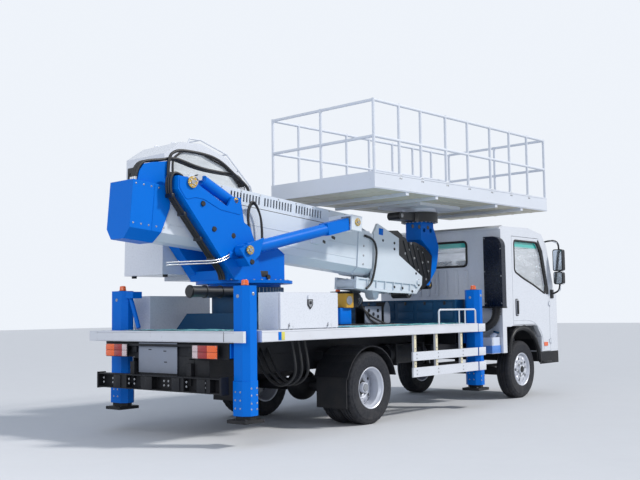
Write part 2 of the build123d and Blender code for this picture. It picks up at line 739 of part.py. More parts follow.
def pads(inset, room, s0, s1):
    # Wear pads that fill the running gap to the section outside
    face = Plane.YZ * offset(Polygon(*SECTION, align=None), amount=-inset + room - 0.1, kind=Kind.INTERSECTION)
    core = Plane.YZ * offset(Polygon(*SECTION, align=None), amount=-inset - 1, kind=Kind.INTERSECTION)
    outer = Pos(s0, 0, 0) * extrude(face, amount=s1 - s0, dir=(1, 0, 0))
    return outer - Pos(s0 - 1, 0, 0) * extrude(core, amount=s1 - s0 + 2, dir=(1, 0, 0))


def slab_collar(inset, s0, s1):
    face = Plane.YZ * offset(Polygon(*SECTION, align=None), amount=0, kind=Kind.INTERSECTION)
    core = Plane.YZ * offset(Polygon(*SECTION, align=None), amount=-inset - 2, kind=Kind.INTERSECTION)
    return hollow_run(face, core, s0, s1)


HEAD = [
    (2564, -735), (2564, -600), (2840, -600), (2840, -60), (2900, 56), (3304, -62), (3316, -263), (3786, -471),
    (3784, -574), (3682, -692), (3153, -727),
]


def boom_fly():
    tube = join(section(28, 8, -300, 3000), pads(28, 6, -300, -200))
    ns, nn = boom_point(*NOSE)
    body = tube
    panel = slab_xz([(2600, -700), (2600, -620), (3640, -585), (3700, -620), (3640, -668), (3153, -700)], 150, 170)
    ribs = [box(s, s + 12, 145, 165, -710, -590) for s in (2760, 2920, 3080, 3240, 3400, 3550)]
    for side in (-1, 1):
        plate = slab_xz(HEAD, 133, 165) - panel
        plate = join(plate, *ribs)
        body = body + (plate if side > 0 else mirror_y(plate))
    body = body + box(2850, 3100, -140, 140, -727, -700) + box(2900, 3280, -140, 140, -110, -90)
    drum = rod_y(2600, -670, -134, 134, 50)
    legs = slab_xz([(2960, -700), (3100, -700), (3085, -790), (3050, -818), (3000, -795)], -60, 60)
    return join(body, drum, legs, rod_y(ns, nn, -176, 176, 30), box(2600, 2850, -134, 134, -735, -715))


# Hoses, fixed to the turret or to the boom along their whole length

def turret_hoses():
    lines = []
    for y in (-208, -240, -272):
        lines.append(hose([(-1010, y, 2417.4), (-1088, y, 2456), (-1144, y, 2400), (-1144, y, 2260),
                           (-1112, y, 2210), (-650, y, 1668), (-508, y, 1530), (-508, y, 1463.5)], 13, 40))
    for z in (0, 24):
        lines.append(hose([(-1242, -339, 1580 + z), (-936, -339, 1601 + z), (-580, -339, 1620 + z),
                           (-480, -339, 1690 + z)], 8, 60))
    for x, y, z in ((0, -250, 0), (30, -225, -16)):
        left = 1765.8 + 0.095 * x
        right = 1777.5 + 0.095 * x
        lines.append(hose([(x - 110, y, left), (x - 112, y, 1830), (x - 150, y, 1915), (x - 172, y, 2032 + z),
                           (x - 174, y, 2166 + z), (x - 128, y, 2251 + z), (x - 73, y, 2248 + z),
                           (x, y, 2124 + z), (x + 16, y, 1948), (x + 16, y, right)], 11, 30))
    block = box(-500, -460, -350, -330.2, 1670, 1730)
    return join(*lines, block)


def boom_hoses():
    # Drawn in the turret's side coordinates, as they lie with the boom at rest
    lines = []
    for y in (-104, -75, -46):
        lines.append(hose([(-1420, y, 2352.5), (-1401, y, 2454), (-1343, y, 2537), (-1244, y, 2561),
                           (-1118, y, 2579), (-1040, y, 2600), (-950, y, 2608), (-864, y, 2592),
                           (-668, y, 2548), (-431, y, 2530), (-170, y, 2528), (-100, y, 2440),
                           (-100, y, 2374)], 14, 30))
    for y in (-14, 18):
        lines.append(hose([(-1068, y, 2470), (-900, y, 2495), (-640, y, 2400), (-535, y, 2345)], 13, 60))
    clamp = box(-1090, -1056, -29.8, 34, 2452, 2488)
    arch = hose([(-1069, -135.5, 2430), (-1069, -135.5, 2610), (-975, -135.5, 2680), (-847, -135.5, 2690),
                 (-583, -135.5, 2680), (-412, -135.5, 2631), (-237, -135.5, 2515), (-60, -135.5, 2410),
                 (-60, -135.5, 2370.5)], 15, 30)
    side = hose([(1682, -189.5, 2004), (1816, -189.5, 1988), (1891, -189.5, 1878), (1877, -189.5, 1727),
                 (1823, -189.5, 1539), (1766, -189.5, 1440), (1690, -189.5, 1400)], 13, 40)
    return join(*lines, clamp, arch, side)


# Cylinders, each built along +X from its lower eye and then laid in place

def lift_length():
    return math.dist(LIFT_A, LIFT_B)


def lift_place():
    tilt = math.degrees(math.atan2(LIFT_B[1] - LIFT_A[1], LIFT_B[0] - LIFT_A[0]))
    return TURRET * Pos(LIFT_A[0], -400, LIFT_A[1]) * Rot(0, -tilt, 0)


def lift_barrel():
    tube = rod((50, 0, 0), (1525, 0, 0), 62) - rod((90, 0, 0), (1500, 0, 0), 46) - rod((1450, 0, 0), (1550, 0, 0), 38.5)
    block = box(1180, 1525, -62, 62, -66, 66) - rod((1170, 0, 0), (1550, 0, 0), 60)
    eye = rod_y(0, 0, -54, 54, 58)
    return join(tube, block, eye) - rod_y(0, 0, -65, 65, 25.08)


def lift_rod():
    length = lift_length()
    stem = rod((300, 0, 0), (length - 20, 0, 0), 38)
    piston = rod((300, 0, 0), (350, 0, 0), 45.5)
    eye = rod_y(length, 0, -52, 52, 46)
    return join(stem, piston, eye)


def level_place():
    tilt = math.degrees(math.atan2(LEVEL_B[1] - LEVEL_A[1], LEVEL_B[0] - LEVEL_A[0]))
    return TURRET * Pos(LEVEL_A[0], -249, LEVEL_A[1]) * Rot(0, -tilt, 0)


def level_barrel():
    tube = rod((20, 0, 0), (395, 0, 0), 54) - rod((50, 0, 0), (365, 0, 0), 34) - rod((350, 0, 0), (400, 0, 0), 20.5)
    eye = rod_y(0, 0, -50, 50, 40)
    return (tube + eye) - rod_y(0, 0, -60, 60, 18.08)


def level_rod():
    length = math.dist(LEVEL_A, LEVEL_B)
    stem = rod((60, 0, 0), (length - 15, 0, 0), 20)
    piston = rod((60, 0, 0), (90, 0, 0), 33.5)
    eye = rod_y(length, 0, -25, 25, 30)
    return join(stem, piston, eye)


# Platform

JAY = [
    (2650, 1455), (2990, 1455), (3030, 1531), (3132, 1645), (3180, 1800), (3201, 1940), (3150, 2080),
    (3098, 2180), (3098, 2240), (2840, 2240), (2840, 2019), (3010, 1900), (3060, 1820), (3040, 1700), (2900, 1560),
    (2650, 1550),
]

def platform_bracket():
    body = slab_xz(JAY, -118, 118) - slab_xz([(2870, 2050), (2870, 2200), (3070, 2200), (3070, 2050)], -100, 100)
    eye = rod_y(NOSE[0], NOSE[1], -118, 118, 45)
    body = join(body, eye) - rod_y(NOSE[0], NOSE[1], -130, 130, 30.08)
    for x in (2910, 3040):
        body = body - rod((x, -130, 2140), (x, -90, 2140), 26)
    return body


def rotator():
    low = Align.CENTER, Align.CENTER, Align.MIN
    ring = Pos(SWING_X, 0, 2240) * Cylinder(230, 121, align=low)
    motor = box(SWING_X - 480, SWING_X - 180, -90, 90, 2250, 2345)
    arm_end = rod_y(SWING_X - 480, 2297, -95, 95, 48)
    spigot = Pos(SWING_X, 0, 2360) * Cylinder(100, 40, align=low)
    return join(ring, motor, arm_end, spigot)


PLAT_X0 = 1153.0
PLAT_X1 = 4756.0
PLAT_Y = 789.0
PLAT_Z = 2449.0
TOE_TOP = 2630.0
MID_Z = 3010.0
RAIL_Z = 3420.0


def hub_room():
    return Pos(SWING_X, 0, 2350) * Cylinder(100.1, 58, align=(Align.CENTER, Align.CENTER, Align.MIN))


def platform():
    floor = box(PLAT_X0, PLAT_X1, -PLAT_Y, PLAT_Y, PLAT_Z, TOE_TOP)
    floor = floor - box(PLAT_X0 + 15, PLAT_X1 - 15, -PLAT_Y + 15, PLAT_Y - 15, PLAT_Z + 60, TOE_TOP + 1)
    low = Align.CENTER, Align.CENTER, Align.MIN
    hub = Pos(SWING_X, 0, 2364) * Cylinder(210, 86, align=low)
    hub = hub - Pos(SWING_X, 0, 2360) * Cylinder(100.1, 45, align=low)
    body = join(floor, hub, box(SWING_X - 420, SWING_X + 420, -330, 330, 2410, PLAT_Z + 1) - hub_room())
    for x in (1700, 2250, 3500, 4100):
        body = body + box(x, x + 50, -PLAT_Y + 10, PLAT_Y - 10, PLAT_Z - 36, PLAT_Z + 1)
    x0, x1, y = PLAT_X0 + 17, PLAT_X1 - 17, PLAT_Y - 17
    for z in (MID_Z, RAIL_Z - 17):
        sides = (
            ((x0, -y, z), (x1, -y, z)), ((x0, y, z), (x1, y, z)),
            ((x0, -y, z), (x0, y, z)), ((x1, -y, z), (x1, y, z)),
        )
        for a, b in sides:
            body = body + rod(a, b, 17)
    posts = [(x, s * y) for x in (x0, 1603, 1998, 2480, 2930, 3420, 3869, 4300, x1) for s in (-1, 1)]
    posts = posts + [(x0, 0), (x1, 0)]
    for px, py in posts:
        body = body + rod((px, py, TOE_TOP - 10), (px, py, RAIL_Z), 16.5)
    return body


def main():
    save("chassis_frame", chassis_frame())
    save("deck", deck())
    save("rear_bumper", rear_bumper())
    save("tail_lamps", tail_lamps())
    save("deck_locker", deck_locker())
    save("boom_rest", boom_rest())
    save("fluid_tank", fluid_tank(), FRONT)
    save("front_bumper", front_bumper(), FRONT)
    save("engine_block", engine_block(), FRONT)
    save("front_suspension", front_suspension())
    save("rear_suspension", rear_suspension())
    save("cab_shell", cab_shell(), FRONT)
    save("windscreen", windscreen(), FRONT)
    save("cab_interior", cab_interior(), FRONT)
    save("intake_duct", intake_duct(), FRONT)
    save("pedestal", pedestal())
    save("slew_motor", slew_motor() - pedestal())
    for side, word in ((1, "left"), (-1, "right")):
        save("side_guard_" + word, side_guard(side))
        save("toolbox_" + word, toolbox(side))
        save("toolbox_door_" + word, toolbox_door(side))
        save("cab_door_" + word, cab_door(side), FRONT)
        save("front_tyre_" + word, front_tyre(side))
        save("front_rim_" + word, front_rim(side))
        save("steering_knuckle_" + word, knuckle(side))
        save("rear_rims_" + word, rear_rims(side))
        save("rear_tyres_" + word, rear_tyres(side))
    for word, x0, x1, y0, side in LEGS:
        save("outrigger_leg_" + word, outrigger_leg(x0, x1, y0, side))
        save("outrigger_jack_" + word, outrigger_jack(x0, x1, y0, side))
    save("turret_frame", turret_frame(), TURRET)
    save("operator_cab", operator_cab(), TURRET)
    save("operator_door", operator_door(), TURRET)
    save("operator_seat", operator_seat(), TURRET)
    save("turret_hoses", turret_hoses(), TURRET)
    save("boom_hoses", boom_hoses(), TURRET)
    save("boom_base", boom_base(), BOOM)
    save("boom_middle", boom_middle(), BOOM)
    save("boom_fly", boom_fly(), BOOM)
    save("lift_barrel", lift_barrel(), lift_place())
    save("lift_rod", lift_rod(), lift_place())
    save("boom_tail_cover", tail_cover(), BOOM)
    save("levelling_barrel", level_barrel(), level_place())
    save("levelling_rod", level_rod(), level_place())
    save("platform_bracket", platform_bracket(), TURRET)
    save("platform_rotator", rotator(), TURRET)
    save("platform", platform(), TURRET)


main()
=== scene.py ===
import math

import bmesh
import bpy
from mathutils import Matrix, Vector


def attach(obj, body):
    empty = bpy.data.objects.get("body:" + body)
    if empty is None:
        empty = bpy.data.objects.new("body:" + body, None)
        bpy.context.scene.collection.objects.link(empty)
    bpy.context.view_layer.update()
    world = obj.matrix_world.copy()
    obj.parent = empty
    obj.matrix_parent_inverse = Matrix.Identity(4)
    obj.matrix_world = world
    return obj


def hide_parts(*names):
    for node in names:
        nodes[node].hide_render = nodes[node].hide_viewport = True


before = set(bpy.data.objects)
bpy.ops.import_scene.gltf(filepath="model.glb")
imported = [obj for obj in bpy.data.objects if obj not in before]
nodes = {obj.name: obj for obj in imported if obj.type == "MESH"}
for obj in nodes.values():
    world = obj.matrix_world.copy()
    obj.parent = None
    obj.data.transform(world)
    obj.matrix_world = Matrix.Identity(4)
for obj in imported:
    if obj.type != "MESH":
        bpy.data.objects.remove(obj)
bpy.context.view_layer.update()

# Places: millimetres in the truck's, the turret's and the boom's own frames
X_MID = 947
SLEW_X = -876
TRUCK = Matrix.Scale(0.001, 4) @ Matrix.Translation((-X_MID, 0, 0))
TURRET = TRUCK @ Matrix.Translation((SLEW_X, 0, 0)) @ Matrix.Rotation(math.radians(-3.3), 4, "Z")
PIVOT = (-948, 2358)
BOOM = TURRET @ Matrix.Translation((PIVOT[0], 0, PIVOT[1])) @ Matrix.Rotation(math.radians(5), 4, "Y")


def linear(r, g, b):
    out = []
    for v in (r, g, b):
        v = v / 255
        out.append(v / 12.92 if v <= 0.04045 else ((v + 0.055) / 1.055) ** 2.4)
    return (*out, 1)


def add(name, data):
    obj = bpy.data.objects.new(name, data)
    bpy.context.scene.collection.objects.link(obj)
    return obj


# Materials

class Shader:
    def __init__(self, name):
        self.mat = bpy.data.materials.new(name)
        self.mat.use_nodes = True
        self.tree = self.mat.node_tree
        self.bsdf = self.tree.nodes["Principled BSDF"]
        self.coord = self.tree.nodes.new("ShaderNodeTexCoord").outputs["Object"]

    def node(self, kind, **values):
        n = self.tree.nodes.new("ShaderNode" + kind)
        for key, value in values.items():
            setattr(n, key, value)
        return n

    def feed(self, socket, value):
        if isinstance(value, bpy.types.NodeSocket):
            self.tree.links.new(value, socket)
        else:
            socket.default_value = value

    def give(self, name, value):
        self.feed(self.bsdf.inputs[name], value)

    def noise(self, scale, detail=4.0, stretch=None):
        n = self.node("TexNoise")
        n.inputs["Scale"].default_value = scale
        n.inputs["Detail"].default_value = detail
        source = self.coord
        if stretch:
            m = self.node("Mapping")
            m.inputs["Scale"].default_value = stretch
            self.feed(m.inputs["Vector"], self.coord)
            source = m.outputs["Vector"]
        self.feed(n.inputs["Vector"], source)
        return n.outputs["Fac"]

    def range(self, value, a0, a1, b0, b1):
        n = self.node("MapRange")
        for key, v in (("Value", value), ("From Min", a0), ("From Max", a1), ("To Min", b0), ("To Max", b1)):
            self.feed(n.inputs[key], v)
        return n.outputs["Result"]

    def math(self, op, a, b):
        n = self.node("Math", operation=op)
        self.feed(n.inputs[0], a)
        self.feed(n.inputs[1], b)
        return n.outputs[0]

    def mix(self, factor, a, b):
        n = self.node("Mix", data_type="RGBA")
        for key, v in (("Factor", factor), (6, a), (7, b)):
            self.feed(n.inputs[key], v)
        return n.outputs[2]

    def height(self):
        n = self.node("SeparateXYZ")
        self.feed(n.inputs[0], self.coord)
        return n.outputs["Z"]

    def bump(self, value, strength, distance=0.002, edge=0.003):
        b = self.node("Bump")
        for key, v in (("Strength", strength), ("Distance", distance), ("Height", value)):
            self.feed(b.inputs[key], v)
        if edge:
            e = self.node("Bevel", samples=3)
            e.inputs["Radius"].default_value = edge
            self.feed(b.inputs["Normal"], e.outputs["Normal"])
        self.give("Normal", b.outputs["Normal"])


def shade(c, k):
    return (min(1, c[0] * k), min(1, c[1] * k), min(1, c[2] * k), 1)


SCUFF = linear(120, 112, 104)
DUST = linear(128, 118, 104)


def paint(name, colour, rough, metal=0.0, coat=0.0, vary=0.06, grain=60, bump=0.06, dust=0.0, edge=0.003,
          wear=0.0, gloss=0.5):
    s = Shader(name)
    c = linear(*colour)
    low = s.noise(1.7)
    base = s.mix(low, shade(c, 1 - vary), shade(c, 1 + vary))
    if wear:
        spots = s.range(s.noise(26.0, 8.0), 0.66, 0.72, 0.0, wear)
        base = s.mix(spots, base, SCUFF)
    if dust:
        fall = s.range(s.height(), 0.15, 1.1, dust, 0.02)
        dirt = s.math("MULTIPLY", fall, s.range(s.noise(6.0, 8.0), 0.3, 0.7, 0.2, 1.0))
        base = s.mix(dirt, base, DUST)
    s.give("Base Color", base)
    fine = s.noise(grain, 6.0)
    s.give("Roughness", s.range(fine, 0.3, 0.7, max(0.02, rough - 0.07), min(1, rough + 0.1)))
    s.give("Metallic", metal)
    s.give("Specular IOR Level", gloss)
    s.give("Coat Weight", coat)
    s.give("Coat Roughness", 0.08)
    s.bump(fine, bump, edge=edge)
    return s.mat


def glass(name, tint, alpha, band=None):
    # band: heights between which the pane turns to the tinted strip's colour
    s = Shader(name)
    streaks = s.noise(3.0, 5.0, (1, 1, 4))
    base = s.mix(streaks, shade(linear(*tint), 0.85), shade(linear(*tint), 1.15))
    opacity = s.range(streaks, 0.3, 0.7, alpha - 0.05, alpha + 0.08)
    if band:
        z0, z1, colour = band
        top = s.range(s.height(), z0, z1, 0.0, 1.0)
        base = s.mix(top, base, linear(*colour))
        opacity = s.math("MAXIMUM", opacity, s.math("MULTIPLY", top, 0.85))
    s.give("Base Color", base)
    s.give("Alpha", opacity)
    s.give("Roughness", 0.03)
    s.give("IOR", 1.5)
    s.give("Coat Weight", 0.6)
    return s.mat


def lens(name, colour, glow):
    # Moulded lamp plastic: fine upright ribs and a soft inner glow
    s = Shader(name)
    c = linear(*colour)
    ribs = s.node("TexWave", wave_type="BANDS", bands_direction="DIAGONAL")
    ribs.inputs["Scale"].default_value = 28.0
    s.feed(ribs.inputs["Vector"], s.coord)
    s.give("Base Color", s.mix(ribs.outputs["Fac"], shade(c, 0.72), shade(c, 1.2)))
    s.give("Roughness", s.range(s.noise(50.0), 0.3, 0.7, 0.12, 0.25))
    s.give("Coat Weight", 0.5)
    s.give("Emission Color", c)
    s.give("Emission Strength", glow)
    s.bump(ribs.outputs["Fac"], 0.25, 0.002, 0.002)
    return s.mat


def tread_rubber():
    s = Shader("tyre_black")
    c = linear(16, 20, 30)
    base = s.mix(s.noise(9.0, 6.0), shade(c, 0.8), shade(c, 1.25))
    low_down = s.range(s.height(), 0.0, 0.5, 0.45, 0.1)
    spots = s.range(s.noise(14.0, 8.0), 0.35, 0.7, 0.0, 1.0)
    dirt = s.math("MULTIPLY", low_down, spots)
    s.give("Base Color", s.mix(dirt, base, linear(72, 70, 70)))
    s.give("Roughness", s.range(s.noise(60.0), 0.3, 0.7, 0.72, 0.92))
    s.bump(s.noise(120.0, 6.0), 0.3, 0.001, 0.002)
    return s.mat


WHITE = paint("cab_white", (214, 218, 226), 0.28, coat=0.3, vary=0.03, grain=90, bump=0.03, dust=0.12)
BOOM_WHITE = paint("boom_white", (208, 216, 226), 0.34, coat=0.2, vary=0.04, grain=70, bump=0.05, edge=0.004)
RAIL_WHITE = paint("rail_white", (226, 230, 236), 0.4, vary=0.05, grain=80, bump=0.05)
FLOOR_WHITE = paint("platform_white", (214, 219, 228), 0.42, vary=0.07, bump=0.08, wear=0.12)
DECK_WHITE = paint("deck_white", (214, 217, 224), 0.42, grain=70, bump=0.08, dust=0.35, wear=0.2)
BLUE = paint("machine_blue", (0, 106, 206), 0.36, vary=0.07, grain=80, bump=0.04, edge=0.004, gloss=0.12)
DARK_BLUE = paint("locker_blue", (6, 58, 92), 0.45, vary=0.1, bump=0.08, gloss=0.3)
GREY = paint("panel_grey", (132, 140, 156), 0.5, vary=0.1, bump=0.08, dust=0.3)
BLACK = paint("chassis_black", (11, 16, 25), 0.55, vary=0.25, grain=70, bump=0.1, dust=0.07, gloss=0.3)
PLASTIC = paint("black_plastic", (12, 14, 19), 0.42, vary=0.15, grain=160, bump=0.12, gloss=0.35)
GLOSS_BLACK = paint("duct_black", (3, 15, 36), 0.24, coat=0.08, vary=0.2, bump=0.04, edge=0.005, gloss=0.3)
FLUID = paint("tank_fluid", (86, 138, 214), 0.3, bump=0.03)
CREAM = paint("guard_cream", (222, 214, 184), 0.45)
UNDER = paint("underside_beige", (204, 200, 184), 0.5)
SATIN = paint("satin_black", (12, 15, 22), 0.35, coat=0.15, vary=0.2, grain=90)
RUBBER = paint("seal_rubber", (18, 18, 20), 0.6, vary=0.2, grain=120, bump=0.1)
HOSE = paint("hose_rubber", (24, 25, 28), 0.5, vary=0.25, grain=200, bump=0.2, edge=0)
STEEL = paint("bare_steel", (168, 170, 174), 0.32, metal=1.0, vary=0.12, grain=80, bump=0.08)
CHROME = paint("rod_chrome", (214, 216, 220), 0.12, metal=1.0, vary=0.04, grain=120, bump=0.01, edge=0)
GOLD = paint("pin_gold", (196, 164, 84), 0.35, metal=0.85, vary=0.15, grain=90, bump=0.1)
SILVER = paint("rim_silver", (206, 210, 220), 0.33, metal=0.25, vary=0.05, grain=110, bump=0.05, dust=0.08)
YELLOW = paint("winch_yellow", (206, 158, 58), 0.45, vary=0.15, bump=0.1)
TANK_WHITE = paint("tank_white", (206, 214, 230), 0.4, vary=0.05, bump=0.05)
SEAT = paint("seat_cloth", (52, 54, 60), 0.85, vary=0.15, grain=300, bump=0.5)
FILM = paint("teal_film", (132, 216, 220), 0.25, coat=0.4, vary=0.24, grain=14, bump=0.5)
REFLECT = paint("reflector_yellow", (214, 204, 96), 0.3, vary=0.12, grain=220, bump=0.3)
MIRROR = paint("mirror_face", (190, 200, 210), 0.05, metal=1.0, vary=0.03, grain=40, bump=0.0, edge=0)
RED_LENS = lens("lens_red", (150, 22, 26), 0.05)
AMBER_LENS = lens("lens_amber", (226, 92, 24), 0.12)
WHITE_LENS = lens("lens_white", (206, 186, 188), 0.03)
SIDE_GLASS = glass("side_glass", (232, 236, 240), 0.3, (1.93, 1.96, (64, 196, 186)))
# Operator cab glass: a near-white tint at 0.62 opacity, a painted sky reflection laid over what lies behind
# the pane
CAB_GLASS = glass("cab_glass", (236, 242, 248), 0.62)
TYRE = tread_rubber()


# Mesh building
BEAD_SIDES = 8


class Kit:
    def __init__(self):
        self.bm = bmesh.new()
        self.mats = []

    def index(self, mat):
        if mat not in self.mats:
            self.mats.append(mat)
        return self.mats.index(mat)

    def mark(self, faces, mat):
        i = self.index(mat)
        for f in faces:
            f.material_index = i
            f.smooth = True

    def bridge(self, one, two, mat):
        # Faces between two closed rows of points
        for j in range(len(one)):
            n = (j + 1) % len(one)
            self.mark([self.bm.faces.new((one[j], one[n], two[n], two[j]))], mat)

    def box(self, x0, x1, y0, y1, z0, z1, mat, chamfer=2.0):
        place = Matrix.Translation(((x0 + x1) / 2, (y0 + y1) / 2, (z0 + z1) / 2))
        size = Matrix.Diagonal((x1 - x0, y1 - y0, z1 - z0, 1))
        made = bmesh.ops.create_cube(self.bm, size=1, matrix=place @ size)["verts"]
        self.mark({f for v in made for f in v.link_faces}, mat)
        room = min(x1 - x0, y1 - y0, z1 - z0) / 3
        if chamfer and room > 0.3:
            edges = list({e for v in made for e in v.link_edges})
            out = bmesh.ops.bevel(self.bm, geom=edges, offset=min(chamfer, room), segments=2, affect="EDGES",
                                  profile=0.5, clamp_overlap=True)
            self.mark(out["faces"], mat)

    def rod(self, a, b, r, mat, seg=20, end=None):
        # end: the radius at b, where it isn't r
        a, b = Vector(a), Vector(b)
        way = b - a
        place = Matrix.Translation((a + b) / 2) @ way.to_track_quat("Z", "Y").to_matrix().to_4x4()
        made = bmesh.ops.create_cone(self.bm, cap_ends=True, segments=seg, radius1=r, radius2=end or r,
                                     depth=way.length, matrix=place)["verts"]
        self.mark({f for v in made for f in v.link_faces}, mat)

    def prism(self, points, y0, y1, mat, axis="y"):
        rows = []
        for depth in (y0, y1):
            ring = []
            for u, v in points:
                at = {"y": (u, depth, v), "x": (depth, u, v), "z": (u, v, depth)}[axis]
                ring.append(self.bm.verts.new(at))
            rows.append(ring)
        n = len(points)
        faces = [self.bm.faces.new(rows[0]), self.bm.faces.new(rows[1][::-1])]
        for i in range(n):
            j = (i + 1) % n
            faces.append(self.bm.faces.new((rows[0][i], rows[1][i], rows[1][j], rows[0][j])))
        bmesh.ops.recalc_face_normals(self.bm, faces=faces)
        for f in faces:
            f.material_index = self.index(mat)

    def line(self, points, r, mat):
        # A hose or bent pipe: a smooth NURBS line with these control points
        curve = bpy.data.curves.new("line", "CURVE")
        curve.dimensions = "3D"
        curve.bevel_depth = r
        curve.bevel_resolution = 3
        curve.resolution_u = 8
        curve.use_fill_caps = True
        spline = curve.splines.new("NURBS")
        spline.points.add(len(points) - 1)
        for point, at in zip(spline.points, points):
            point.co = (*at, 1)
        spline.order_u = 3
        spline.use_endpoint_u = True
        obj = add("line", curve)
        mesh = bpy.data.meshes.new_from_object(obj.evaluated_get(bpy.context.evaluated_depsgraph_get()))
        i = self.index(mat)
        for polygon in mesh.polygons:
            polygon.material_index = i
            polygon.use_smooth = True
        self.bm.from_mesh(mesh)
        bpy.data.objects.remove(obj)
        bpy.data.curves.remove(curve)
        bpy.data.meshes.remove(mesh)

    def ring(self, points, r, mat):
        # A seal or bead round a closed outline
        path = [Vector(p) for p in points]
        count = len(path)
        rings = []
        normal = None
        for k, p in enumerate(path):
            way = (path[(k + 1) % count] - path[k - 1]).normalized()
            if normal is None:
                normal = way.orthogonal().normalized()
            normal = (normal - way * normal.dot(way)).normalized()
            side = way.cross(normal)
            row = []
            for j in range(BEAD_SIDES):
                a = 2 * math.pi * j / BEAD_SIDES
                row.append(self.bm.verts.new(p + (normal * math.cos(a) + side * math.sin(a)) * r))
            rings.append(row)
        for k in range(count):
            self.bridge(rings[k], rings[(k + 1) % count], mat)

    def lathe(self, profile, centre, mat, seg, notch=None, gap=None):
        # profile rows are (radius, offset along +Y); gap is the row that stays open
        rings = []
        for i, (r, o) in enumerate(profile):
            row = []
            for j in range(seg):
                a = 2 * math.pi * j / seg
                k = r - (notch(i, j) if notch else 0)
                at = (centre[0] + k * math.cos(a), centre[1] + o, centre[2] + k * math.sin(a))
                row.append(self.bm.verts.new(at))
            rings.append(row)
        for i in range(len(profile) - 1):
            if i != gap:
                self.bridge(rings[i], rings[i + 1], mat)

    def bolt(self, at, way, r, mat, tall=None):
        at, way = Vector(at), Vector(way).normalized()
        tall = tall or r * 0.8
        self.rod(at, at + way * tall, r, mat, 6, r * 0.92)
        self.rod(at, at + way * tall * 0.25, r * 1.45, mat, 14)

    def done(self, name, body="chassis", place=TRUCK, replaces=(), angle=38, thick=None):
        mesh = bpy.data.meshes.new(name)
        self.bm.transform(place)
        if place.determinant() < 0:
            bmesh.ops.reverse_faces(self.bm, faces=self.bm.faces)
        self.bm.to_mesh(mesh)
        self.bm.free()
        for mat in self.mats:
            mesh.materials.append(mat)
        mesh.set_sharp_from_angle(angle=math.radians(angle))
        obj = add(name, mesh)
        if thick:
            m = obj.modifiers.new("wall", "SOLIDIFY")
            m.thickness = thick / 1000
            m.offset = 0
        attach(obj, body)
        if replaces:
            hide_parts(*replaces)
        return obj


def rounded(points, r, steps=4):
    # A polygon with round corners
    out = []
    n = len(points)
    for i in range(n):
        p = Vector(points[i])
        a, b = Vector(points[i - 1]) - p, Vector(points[(i + 1) % n]) - p
        ra = min(r, a.length * 0.45)
        rb = min(r, b.length * 0.45)
        start, end = p + a.normalized() * ra, p + b.normalized() * rb
        for k in range(steps + 1):
            t = k / steps
            out.append(tuple(start * (1 - t) ** 2 + p * 2 * t * (1 - t) + end * t * t))
    return out


def panel(u0, u1, v0, v1, r, steps=4):
    # A rectangle with round corners
    return rounded([(u0, v1), (u0, v0), (u1, v0), (u1, v1)], r, steps)


def at_x(x, points):
    return [(x, y, z) for y, z in points]


def at_y(y, points):
    return [(x, y, z) for x, z in points]


def across(side, near, far):
    # The y limits, low one first, of what reaches from near to far on that side
    return sorted((side * near, side * far))


def polar(r, degrees):
    a = math.radians(degrees)
    return r * math.cos(a), r * math.sin(a)


# CAD nodes that keep their shape get a finished surface; a name that ends in _ stands for all that start so
SURFACES = (
    (WHITE, "cab_shell cab_door_ operator_cab operator_door toolbox_ side_guard_"),
    (BOOM_WHITE, "boom_base boom_middle boom_fly"),
    (FLOOR_WHITE, "platform"),
    (DECK_WHITE, "deck"),
    (TANK_WHITE, "fluid_tank"),
    (BLUE, "turret_frame boom_tail_cover lift_barrel levelling_barrel platform_bracket outrigger_leg_"),
    (DARK_BLUE, "deck_locker pedestal"),
    (BLACK, "chassis_frame rear_bumper front_bumper engine_block front_suspension rear_suspension boom_rest "
            "steering_knuckle_ outrigger_jack_"),
    (GLOSS_BLACK, "intake_duct"),
    (SATIN, "platform_rotator slew_motor"),
    (CHROME, "lift_rod levelling_rod"),
    (RED_LENS, "tail_lamps"),
    (SIDE_GLASS, "windscreen"),
    (TYRE, "front_tyre_ rear_tyres_"),
    (SILVER, "front_rim_ rear_rims_"),
)
for mat, starts in SURFACES:
    for start in starts.split():
        for name in nodes:
            if name == start or start.endswith("_") and name.startswith(start):
                data = nodes[name].data
                data.materials.clear()
                data.materials.append(mat)

SIDES = ((1, "left"), (-1, "right"))

# Wheels: treaded tyres, rims with five round holes, hubs and nuts
TYRE_R = 367
TYRE_HALF = 95
RIM_R = 205
HOLE_BAND = (118, 166)
DISC_SEG = 70
SECTOR = DISC_SEG // 5
NUT_REACH = 84
# Hub parts: offsets from the outer wheel's middle, radii at both ends, sides and look
FRONT_HUB = ((68, 90, 62, 54, 40, SILVER), (90, 98, 44, 36, 32, PLASTIC))
REAR_HUB = ((-44, 16, 56, 50, 40, SILVER), (16, 26, 40, 36, 32, STEEL))
# End, its plural, x, wheels from the outer one inwards and their discs' offsets, nuts' offset, hub
WHEELS = (("front", "", 3360, (775,), (66,), 70, FRONT_HUB),
          ("rear", "s", 0, (842, 622), (-46, 60), -44, REAR_HUB))


def tyre_mesh(kit, x, y):
    h = TYRE_HALF
    r = TYRE_R
    wall = [(RIM_R + 1, -h + 16), (218, -h + 5), (250, -h), (285, -h - 1), (318, -h), (322, -h + 4),
            (348, -h + 9), (358, -h + 17), (r - 1, -h + 30)]
    profile = list(wall)
    for g in (-38, 0, 38):
        profile += [(r, g - 7), (r - 9, g - 5), (r - 9, g + 5), (r, g + 7)]
    profile += [(u, -o) for u, o in reversed(wall)]
    last = len(profile) - 1

    def lug(i, j):
        edge = i in (7, 8, last - 7, last - 8)
        return 6 if edge and j % 4 == 0 else 0

    kit.lathe(profile, (x, y, r), TYRE, 144, notch=lug)


